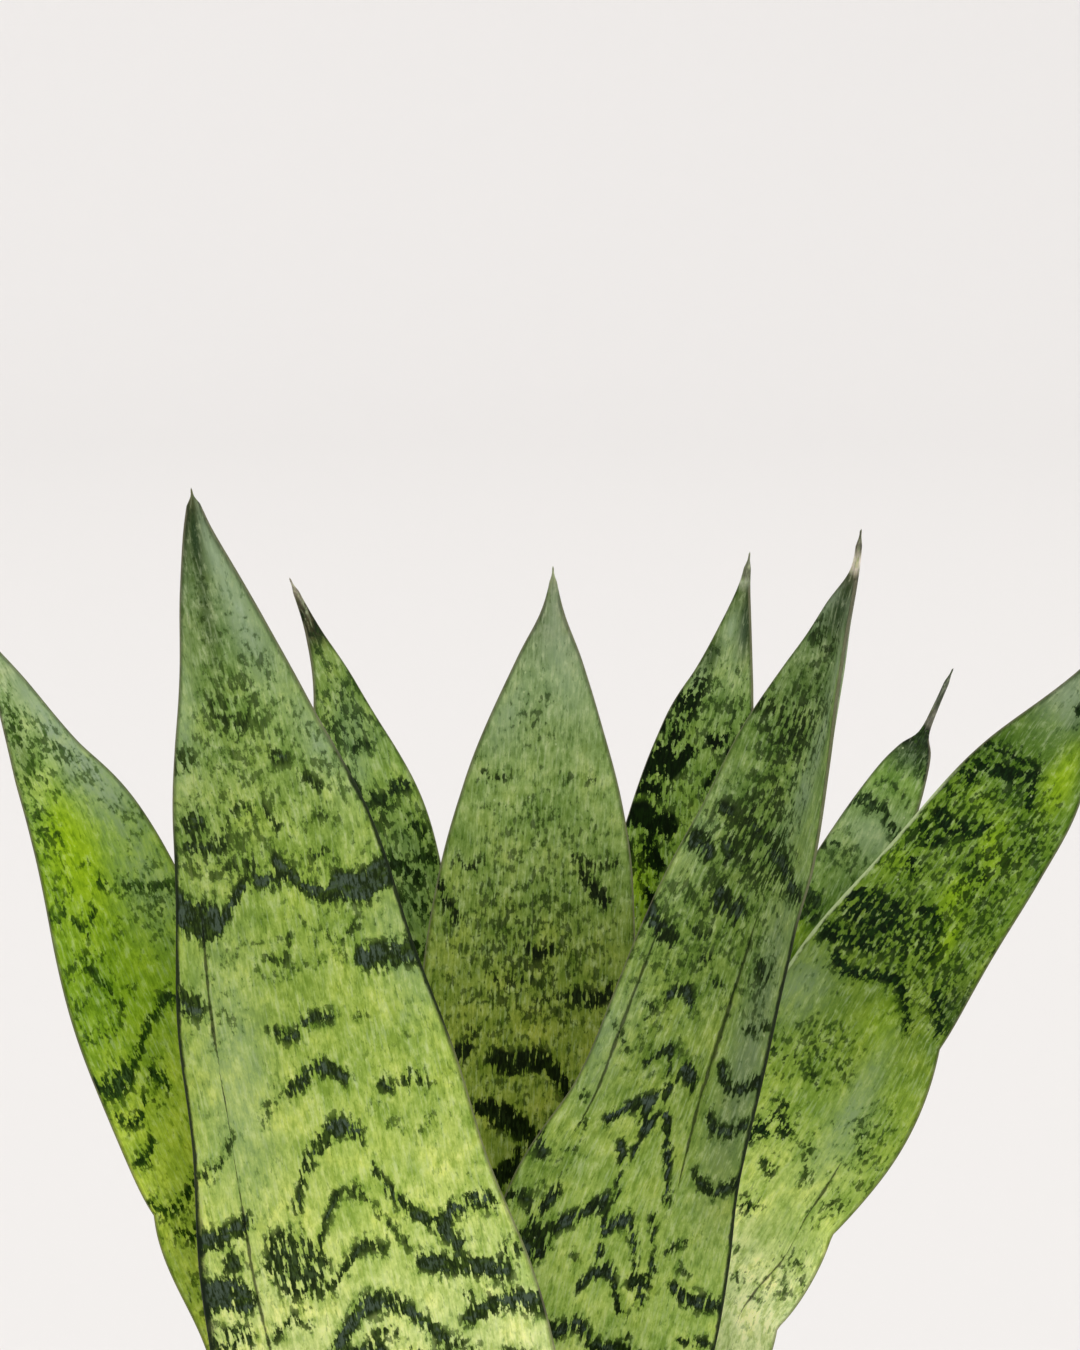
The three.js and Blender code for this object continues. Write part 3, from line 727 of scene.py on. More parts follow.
leaf = grow_leaf(
    "leaf_front_left",
    stations=[
        [-15, -24, 124, 12], [-14, -30.5, 150, 21.5], [-15, -36, 178, 32], [-19, -38.5, 203, 35.5],
        [-23, -39.5, 228, 34], [-30.7, -41, 265, 29], [-38.7, -43, 306, 23.7], [-43, -46, 332, 19.2],
        [-47.5, -50, 353, 14], [-51.4, -53, 370, 9], [-54, -57, 383, 5.3],
        [-55.6, -59.5, 391, 3.1], [-56.3, -61, 396, 1.75], [-56.8, -62, 400, 0.5],
    ],
    yaw=[-14, -2, 0, 3, 12], fold=[-20, -9, -7, -9, -26], wave=0.8, seed=1.7,
    bands=[
        [4, 0.6, (-0.15, 24), (-0.05, 29)], [6, 0.65, (-0.45, 44), (-0.25, 47), (-0.1, 49), (0.05, 47)],
        [4, 0.5, (-0.6, 40), (-0.45, 43)], [4, 0.5, (0.1, 40), (0.3, 43)], [3, 0.45, (0.3, 38), (0.5, 42)],
        [4.5, 0.85, (0.24, 56), (0.4, 57)], [6, 0.75, (0.55, 62), (0.62, 64)],
        [8, 0.6, (-0.92, 54), (-0.82, 54)],
        [3.5, 0.8, (-0.47, 69), (-0.38, 66), (-0.25, 64.5), (-0.12, 66)], [6, 0.7, (0, 67), (0.08, 70)],
        [9, 0.8, (-0.82, 67), (-0.74, 67)], [6, 0.75, (-0.85, 72), (-0.65, 73), (-0.48, 72)],
        [3, 0.75, (0.26, 71), (0.35, 71.5)], [3, 0.75, (0.5, 69.5), (0.68, 70)],
        [4, 0.8, (0.36, 77), (0.52, 77)], [6, 0.6, (-0.48, 77), (-0.4, 77)],
        [6, 0.65, (-0.3, 77), (-0.22, 77)],
        [5, 1, (0, 77), (0.1, 80), (0.25, 84), (0.4, 85.5), (0.55, 84), (0.7, 86)],
        [8, 1, (0.5, 84), (0.72, 85.5), (1, 82)], [9, 1, (-1, 84), (-0.85, 87), (-0.62, 88)],
        [5, 0.95, (-0.6, 88.5), (-0.5, 86), (-0.38, 82), (-0.25, 80), (-0.1, 81), (0.02, 80.5)],
        [2.5, 0.7, (0.12, 88), (0.2, 92)], [3.5, 0.8, (0.3, 92.5), (0.42, 95), (0.52, 93.5), (0.62, 92)],
        [3.5, 0.85, (-0.22, 96), (-0.12, 97.5), (-0.03, 96), (0, 93)],
        [2.5, 0.5, (-0.45, 100), (-0.3, 98.5), (-0.1, 100.5), (0.1, 99), (0.3, 98), (0.5, 99)],
        [7, 1, (0.55, 99.5), (0.75, 100), (1, 100.5)], [7, 0.85, (-1, 101), (-0.82, 104)],
        [4, 0.5, (-0.7, 106), (-0.6, 106)], [3, 0.6, (0.4, 111), (0.46, 110.5)],
        [3.5, 1, (-0.28, 110), (-0.2, 112), (-0.1, 112.5), (-0.02, 110), (0.08, 109), (0.2, 110)],
        [4.8, 1, (-0.22, 123), (-0.12, 121.5), (-0.02, 119.5), (0.1, 119.5), (0.2, 122.5)],
        [4.5, 0.9, (0.43, 125), (0.5, 126)], [4.5, 0.9, (0.6, 126), (0.66, 124.5), (0.74, 127)],
        [3, 0.6, (0.34, 129), (0.4, 128)], [5, 0.5, (-0.45, 127), (-0.32, 123.5)],
        [5.5, 1, (-0.14, 136), (-0.06, 134), (0.02, 132), (0.12, 131.5), (0.2, 133.5)],
        [7, 0.75, (-0.3, 146), (-0.24, 140), (-0.14, 136)], [3, 0.55, (0.4, 133), (0.5, 135)],
        [7, 0.8, (0.2, 134), (0.24, 141), (0.3, 146), (0.38, 150)], [3, 0.5, (0.62, 135.5), (0.75, 134)],
        [4, 0.9, (-0.22, 154.5), (-0.16, 151), (-0.1, 147.5), (-0.02, 144.5)],
        [4, 0.85, (0.05, 145), (0.14, 145.5), (0.2, 150), (0.28, 155), (0.36, 159.5), (0.42, 162)],
        [5.5, 1, (0.38, 162), (0.5, 163.5), (0.65, 165), (0.85, 167.5)],
        [8, 0.85, (0.57, 157), (0.62, 160)],
        [5, 0.95, (0.36, 149), (0.43, 152.5), (0.52, 155), (0.6, 155.5), (0.68, 152.5), (0.75, 154)],
        [6, 0.9, (0.8, 152), (0.93, 153.5)], [5, 0.8, (0.88, 164), (0.97, 164)],
        [3.8, 0.9, (-0.26, 164), (-0.15, 162), (-0.06, 159), (0.03, 156.5), (0.1, 156), (0.2, 158)],
        [17, 0.7, (-0.46, 157), (-0.3, 158)], [4, 0.9, (-0.55, 152), (-0.4, 153)],
        [3.5, 0.85, (-0.96, 137), (-0.86, 137), (-0.77, 134), (-0.7, 130.5)],
        [5.5, 1, (-1, 150), (-0.85, 150), (-0.75, 149), (-0.65, 147.5)],
        [7, 0.75, (-0.8, 155), (-0.75, 155)], [9, 0.95, (-1, 162), (-0.85, 161), (-0.72, 163)],
        [8, 0.7, (-0.95, 171), (-0.75, 171)],
        [5.5, 1, (-0.22, 175), (-0.12, 171.5), (-0.04, 168.5), (0.06, 167.5), (0.16, 168.5), (0.24, 171),
         (0.33, 174.5), (0.4, 178)],
        [5, 0.9, (0.55, 175), (0.65, 174), (0.78, 173)], [5, 0.7, (0.58, 170.5), (0.64, 171.5)],
        [6, 0.95, (0.8, 173), (1, 175)], [4, 0.8, (-0.02, 174.5), (0.08, 173.5), (0.16, 175)],
        [4, 0.8, (-0.6, 172), (-0.45, 168), (-0.36, 170)],
    ] + wild_bands(180, 282, -1, 1, 41),
    clouds=[
        [47, -0.3, 9, 0.45, 0.44], [44, 0.35, 10, 0.5, 0.28], [66, -0.2, 10, 0.8, 0.3],
        [60, 0.8, 9, 0.25, 0.3], [74, -0.7, 8, 0.4, 0.3], [79, 0.1, 5, 0.9, 0.28], [92, 0, 5, 0.9, 0.2],
        [105, -0.7, 8, 0.25, 0.25], [22, -0.35, 13, 0.25, 0.34], [32, 0.35, 8, 0.4, 0.16],
        [130, 0.8, 40, 0.2, 0.12], [162, -0.85, 12, 0.25, 0.25], [157, -0.36, 9, 0.16, 0.3],
    ],
    # Painted light shining through the blade; negative amounts are painted shade.
    backlight_and_shade=[
        [9, -0.25, 6, 0.35, -0.7], [24, -0.25, 14, 0.25, -0.55], [140, 0.2, 22, 0.6, 0.2],
        [170, 0.1, 25, 0.7, 0.15], [80, 0.1, 14, 0.6, 0.28], [66, -0.2, 5, 0.3, 0.2],
    ],
    # Waxy bloom with a painted sheen of reflected light.
    bloom=[
        [14, 0.5, 12, 0.35, 0.6], [30, 0.6, 14, 0.35, 0.6], [56, 0.85, 10, 0.2, 0.5],
        [118, -0.6, 24, 0.25, 0.4], [48, -0.9, 14, 0.2, 0.4], [100, 0.9, 14, 0.2, 0.3],
    ],
    # Creases: grooves in the relief with a painted shade line along them.
    creases=[[
        [86, -0.75, 0.1], [92, -0.74, 0.35], [110, -0.72, 0.35], [116, -0.715, 0.03], [122, -0.71, 0.15],
        [134, -0.7, 0.03], [149, -0.67, 0.35], [160, -0.66, 0.4], [174, -0.63, 0.35], [190, -0.6, 0.1],
    ]],
)
leaf_skin(
    leaf, "front_left_skin", seed=1.7, bands_dark=(56, 76, 22),
    ground_and_light=[
        (0, (98, 94, 72)), (5, (82, 94, 64)), (20, (118, 142, 90)), (45, (144, 170, 92)),
        (85, (152, 176, 80)), (120, (166, 188, 86)), (150, (194, 212, 112)), (180, (214, 228, 146)),
        (250, (206, 218, 150)),
    ],
    # Painted shadow where the blade lies over the leaves behind, over its margins' own dark green.
    rims=[
        (1, 62, 118, 0.7, MARGIN_AND_SHADOW_GREEN), (-1, 72, 150, 0.9, MARGIN_AND_SHADOW_GREEN), (-1, 146, 290, 1.6, MARGIN_AND_SHADOW_GREEN),
    ],
)

# Far left leaf: it stands behind the front left one and leans out to the left, folded along
# its midrib, with a small old nick in its left margin. Its left half and its lower part are
# painted a glowing yellower green, painted light shining through the blade from behind.
leaf = grow_leaf(
    "leaf_far_left",
    stations=[
        [-31, -5, 124, 10.5], [-34, -9, 152, 13], [-37.5, -10.5, 188, 16.6], [-41, -11, 221, 17.6],
        [-52.4, -12.5, 252, 18.4], [-62.9, -14, 278, 18], [-73.2, -15.5, 305, 16],
        [-81.5, -17, 328, 11.8], [-88.5, -19, 342, 7.8], [-95.2, -21, 356, 4.1],
        [-99.5, -23, 365, 1.3], [-101.5, -24, 369, 0.5],
    ],
    yaw=[-24, -2, 14, 18, 24], fold=[32, 22, 16, 20, 30], wave=0.7, seed=5.1, nicks=[[256, -1, 1.8, 7]],
    bands=[
        [3, 0.7, (-0.75, 32), (-0.6, 31), (-0.4, 31.5), (-0.2, 35), (-0.1, 38)],
        [3.5, 0.7, (-0.8, 36), (-0.65, 42), (-0.45, 46)], [3, 0.65, (-0.35, 44), (-0.3, 41), (-0.25, 37)],
        [3, 0.7, (-0.62, 47), (-0.55, 48)], [3, 0.6, (-0.22, 53), (-0.16, 53.5)],
        [4, 0.9, (-0.12, 57), (-0.03, 58)],
        [3.5, 0.9, (-0.82, 56), (-0.72, 60), (-0.62, 63), (-0.5, 66), (-0.42, 64.5), (-0.3, 62)],
        [3, 0.75, (-0.95, 60), (-0.82, 62), (-0.72, 60)],
        [5, 0.6, (0.15, 60), (0.4, 61), (0.6, 62.5), (0.85, 63)], [3, 0.5, (-0.14, 69), (-0.05, 68.5)],
        [3, 0.6, (-0.22, 79), (-0.12, 79.5)],
        [2.5, 0.75, (-0.92, 71.5), (-0.7, 70), (-0.5, 70.5), (-0.35, 72)],
        [5, 0.75, (-0.6, 72), (-0.47, 77), (-0.37, 82)], [3, 0.8, (-0.9, 85), (-0.75, 86)],
        [2.5, 0.7, (-0.7, 86.5), (-0.5, 86), (-0.38, 84)], [3, 0.6, (-0.92, 78), (-0.8, 79)],
        [7, 0.85, (-0.97, 94.5), (-0.8, 96.5), (-0.58, 95)],
        [4, 0.85, (-0.62, 94), (-0.45, 93.5), (-0.3, 91), (-0.15, 88), (0, 86), (0.15, 84.5), (0.35, 84)],
        [4, 0.85, (-0.9, 102), (-0.75, 104.5), (-0.6, 104), (-0.5, 101)], [6, 0.8, (-0.3, 97), (-0.2, 100)],
        [4, 0.85, (-0.88, 112), (-0.72, 112), (-0.6, 109)], [3, 0.7, (-0.45, 101), (-0.35, 103)],
        [4, 0.85, (-0.95, 121), (-0.8, 124), (-0.6, 124), (-0.4, 121.5), (-0.2, 119)],
        [4, 0.85, (-0.75, 129), (-0.6, 131), (-0.45, 129), (-0.3, 127)],
        [3, 0.6, (-0.85, 139), (-0.6, 141), (-0.4, 139)], [5, 0.75, (-0.8, 147), (-0.5, 148), (-0.25, 145)],
    ] + wild_bands(92, 150, 0.2, 1, 42) + wild_bands(156, 255, -1, 1, 43),
    clouds=[
        [22, -0.5, 10, 0.5, 0.54], [42, -0.75, 9, 0.25, 0.5], [30, 0.4, 8, 0.6, 0.42],
        [66, 0.6, 9, 0.5, 0.4], [46, 0.7, 8, 0.3, 0.2], [58, -0.65, 6, 0.3, 0.2], [78, -0.6, 8, 0.4, 0.2],
        [98, -0.5, 7, 0.5, 0.2], [126, -0.6, 6, 0.4, 0.3], [142, -0.6, 8, 0.4, 0.2],
    ],
    # Painted light shining through the blade; negative amounts are painted shade.
    backlight_and_shade=[
        [28, -0.6, 9, 0.4, -0.55], [48, -0.35, 15, 0.5, 1], [66, 0.3, 12, 0.6, 0.35],
        [112, -0.4, 16, 0.6, 0.45], [80, -0.1, 9, 0.5, 0.3],
    ],
    # Waxy bloom with a painted sheen of reflected light.
    bloom=[[22, 0.6, 12, 0.5, 0.85], [38, 0.7, 12, 0.45, 0.85], [62, 0.6, 10, 0.4, 0.5]],
)
leaf_skin(
    leaf, "far_left_skin", seed=5.1, dash=2.2, fleck=3.0, bands_dark=(56, 88, 16), band_reflection=0.2,
    ground_and_light=[
        (8, (162, 182, 136)), (33, (162, 190, 96)), (50, (146, 180, 44)), (85, (138, 174, 40)),
        (110, (202, 224, 82)), (150, (208, 228, 94)), (240, (184, 204, 120)),
    ],
)

# Back left leaf: a narrow blade behind the front left one that leans away to the left, with
# a dark dried tip and fine flecks between its bands.
leaf = grow_leaf(
    "leaf_back_left",
    stations=[
        [-21, 16, 124, 9.5], [-18, 20, 160, 13], [-14.5, 22.5, 205, 16], [-15.5, 25, 240, 16.6],
        [-18, 28, 266, 16.2], [-21.5, 31, 290, 15.4], [-25.2, 34, 314, 13],
        [-29.4, 37, 331, 10.2], [-33.6, 40, 347, 5.4], [-37.8, 42, 358, 2.2],
        [-40.8, 44.5, 365, 0.9], [-42.8, 46, 369.5, 0.5],
    ],
    yaw=[-12, 8, 20, 24, 30], fold=[30, 20, 14, 16, 28], wave=0.6, seed=9.3,
    bands=[
        [8, 0.45, (-1, 11), (1, 11)], [4, 0.6, (-0.7, 15), (-0.2, 16.5)], [4, 0.5, (0, 20), (0.2, 20)],
        [3, 0.6, (0.2, 31), (0.5, 31.5), (0.9, 31)], [4, 0.8, (0.05, 38), (0.25, 36.5), (0.45, 38)],
        [4.5, 0.85, (0.02, 50), (0.12, 48), (0.3, 49.5), (0.5, 49.5), (0.6, 47.5), (0.85, 47.5)],
        [6, 0.8, (0.62, 55), (0.8, 57)], [6, 0.85, (0.18, 62), (0.4, 64), (0.6, 66)],
        [4.5, 0.8, (0.65, 62), (0.97, 63)], [6, 0.75, (0.45, 72), (0.75, 74)], [4, 0.7, (0.9, 73), (1, 74)],
        [4, 0.75, (0.1, 69), (0.3, 70)], [6, 0.7, (0, 81), (0.35, 80), (0.6, 82)],
    ] + wild_bands(44, 88, -1, 0, 44) + wild_bands(90, 255, -1, 1, 45),
    clouds=[
        [25, 0.1, 4, 0.9, 0.42], [33, 0.3, 5, 0.9, 0.46], [35, -0.5, 8, 0.4, 0.35], [52, 0.2, 6, 0.45, 0.5],
        [58, 0.8, 6, 0.3, 0.38], [68, 0.5, 9, 0.7, 0.42],
    ],
    # Painted light shining through the blade; negative amounts are painted shade.
    backlight_and_shade=[[30, 0.3, 9, 0.8, -0.2], [44, 0.5, 4, 0.5, 0.15]],
    # Waxy bloom with a painted sheen of reflected light.
    bloom=[[33, 0.2, 6, 0.6, 0.3], [42, 0, 5, 0.3, 0.35], [66, 0.2, 12, 0.7, 0.3]],
)
leaf_skin(
    leaf, "back_left_skin", seed=9.3, dash=2.4, fleck=3.4, bands_dark=(44, 68, 18), band_reflection=0.2,
    ground_and_light=[
        (0, (140, 134, 122)), (5, (96, 92, 76)), (6.5, (50, 48, 30)), (13, (62, 62, 34)),
        (17, (122, 148, 72)), (45, (146, 174, 82)), (80, (136, 164, 72)), (130, (124, 150, 58)),
        (240, (160, 182, 100)),
    ],
)

# Centre leaf: an upright blade in the middle of the plant, smooth and greyer near its tip.
# Painted shade makes it darker where the leaves in front close in.
leaf = grow_leaf(
    "leaf_centre",
    stations=[
        [-1, 3, 124, 11], [0, 5, 152, 15], [2.5, 6, 185, 20], [4, 6.5, 216, 22.4],
        [5.4, 7, 252, 23.6], [7, 7, 288, 22.8], [8.2, 6.5, 314, 20.4], [9.4, 6, 332, 16.2],
        [10.3, 5, 347, 11.4], [10.9, 4, 359, 6.8], [11.4, 3, 367.5, 2.8],
        [11.6, 3, 373, 1.1], [11.6, 2, 377.3, 0.5],
    ],
    yaw=[4, 0, -2, 0, 2], fold=[30, 22, 14, 12, 20], wave=0.5, seed=13.9,
    bands=[
        [3, 0.5, (-0.25, 32.5), (0, 31.5), (0.15, 33)],
        [3.5, 0.7, (-0.8, 42.5), (-0.65, 43.5), (-0.45, 43)], [3, 0.55, (0.2, 43), (0.4, 43)],
        [3, 0.6, (0.58, 43), (0.75, 42.5)], [3, 0.5, (-0.95, 39.5), (-0.85, 40)],
        [4, 0.7, (-0.87, 60.5), (-0.7, 62), (-0.55, 61)], [3.5, 0.75, (0.35, 58.5), (0.6, 60), (0.85, 59)],
        [6, 0.85, (0.48, 62), (0.58, 65), (0.72, 67)], [6, 0.8, (-0.95, 66), (-0.85, 70), (-0.75, 72)],
        [3, 0.55, (-0.33, 76), (-0.2, 77)], [4, 0.9, (-0.05, 78), (0.05, 79.5), (0.2, 78)],
        [5, 0.9, (0.38, 87), (0.6, 88), (0.8, 85)], [3.5, 0.7, (0.05, 89), (0.25, 88), (0.4, 89)],
        [3, 0.6, (-0.75, 89), (-0.5, 90)], [5, 0.6, (-0.54, 95), (-0.48, 96)],
        [6, 0.85, (-0.8, 99), (-0.68, 101), (-0.55, 99)], [3.5, 0.75, (-0.42, 84), (-0.2, 85.5), (0, 84.5)],
        [6, 1, (-0.32, 101), (-0.15, 102.5), (0.05, 101), (0.2, 102), (0.33, 105), (0.42, 108)],
        [7, 1, (-0.32, 112), (-0.15, 113.5), (0, 116), (0.12, 118)], [5, 0.9, (-0.5, 112), (-0.35, 111)],
        [7, 1, (-0.35, 128), (-0.2, 126), (-0.05, 122)],
    ] + wild_bands(135, 262, -1, 1, 46),
    clouds=[
        [30, -0.3, 8, 0.5, 0.24], [52, 0, 9, 0.9, 0.26], [68, -0.1, 8, 0.9, 0.34], [80, 0, 8, 0.95, 0.36],
        [92, 0, 8, 0.95, 0.34], [108, -0.2, 8, 0.8, 0.26],
    ],
    # Painted light shining through the blade; negative amounts are painted shade.
    backlight_and_shade=[[122, 0.2, 14, 0.9, -0.25], [100, -0.7, 12, 0.3, -0.15]],
    # Waxy bloom with a painted sheen of reflected light.
    bloom=[[30, -0.7, 8, 0.3, 0.45], [12, 0.2, 14, 0.8, 0.4], [22, 0.5, 8, 0.5, 0.25]],
)
leaf_skin(
    leaf, "centre_skin", seed=13.9, dash=3.8, fleck=2.2, bands_dark=(30, 44, 6), band_reflection=0.05,
    ground_and_light=[
        (0, (130, 136, 110)), (12, (138, 152, 116)), (22, (144, 166, 110)), (45, (148, 172, 98)),
        (75, (138, 158, 72)), (95, (150, 164, 66)), (110, (164, 178, 76)), (150, (146, 164, 68)),
        (250, (158, 178, 102)),
    ],
)

# Back right leaf: a stiff waxy blade behind the front right one, folded along its midrib and
# rooted in the soil like the others. Its very tip has dried to grey.
leaf = grow_leaf(
    "leaf_back_right",
    stations=[
        [5, 20, 124, 10.5], [10, 24, 160, 14.5], [21, 28, 205, 20], [29.5, 30.5, 242, 21.2],
        [35.8, 32.5, 268, 21.6], [40.4, 35, 294, 21], [42.6, 37, 322, 15.6], [44.9, 39, 338, 11],
        [47.8, 41, 349, 7.2], [50, 42.5, 360, 4], [51.6, 44, 369, 1.4], [52.4, 45, 375, 0.5],
    ],
    yaw=[10, -6, -22, -28, -34], fold=[30, 22, 16, 16, 30], wave=0.6, seed=17.3,
    bands=[
        [5, 0.72, (-1, 33), (-0.8, 33), (-0.6, 31)], [4, 0.62, (-1, 28), (-0.75, 28.5), (-0.5, 27)],
        [3, 0.6, (0.3, 37), (0.5, 36), (0.8, 37)], [3, 0.6, (0.2, 42), (0.5, 43)],
        [4.5, 0.85, (-1, 38), (-0.8, 38.5), (-0.6, 40)],
        [7, 1, (-0.95, 46), (-0.75, 45), (-0.5, 46), (-0.35, 43)],
        [3, 0.75, (-0.4, 43.5), (-0.2, 42), (-0.05, 41)], [4.5, 0.9, (-1, 51), (-0.8, 50.5), (-0.55, 51.5)],
        [6.5, 1, (-1, 57), (-0.8, 56), (-0.6, 57.5), (-0.35, 58)], [7, 0.95, (-0.62, 62), (-0.45, 66)],
        [5, 0.9, (-1, 63), (-0.85, 64)], [6, 0.85, (-1, 72), (-0.85, 74)],
        [6, 0.95, (-0.5, 72), (-0.35, 76)], [4, 0.85, (-0.9, 42), (-0.6, 41.5)],
    ] + wild_bands(40, 78, 0, 1, 47) + wild_bands(82, 260, -1, 1, 48),
    clouds=[
        [35, 0.6, 8, 0.45, 0.46], [44, -0.55, 16, 0.5, 0.46], [31, -0.7, 7, 0.4, 0.5],
        [66, -0.7, 10, 0.35, 0.42],
    ],
    # Painted light shining through the blade; negative amounts are painted shade.
    backlight_and_shade=[
        [15, 0.6, 8, 0.45, -0.95], [22, -0.7, 5, 0.4, -0.7], [54, -0.85, 5, 0.2, 0.4],
        [70, -0.65, 9, 0.25, 0.6],
    ],
    # Waxy bloom with a painted sheen of reflected light.
    bloom=[[16, -0.3, 3.5, 0.3, 0.6], [20, 0.2, 8, 0.5, 0.3], [28, -0.75, 3, 0.2, 0.4]],
)
leaf_skin(
    leaf, "back_right_skin", seed=17.3, dash=2.0, fleck=3.8, bands_dark=(14, 34, 2), band_reflection=0.0,
    ground_and_light=[
        (0, (112, 114, 96)), (5, (112, 116, 94)), (6, (190, 196, 170)), (7.5, (96, 114, 68)),
        (22, (144, 168, 100)), (50, (138, 166, 76)), (75, (112, 142, 40)), (130, (114, 140, 46)),
        (240, (160, 180, 100)),
    ],
)

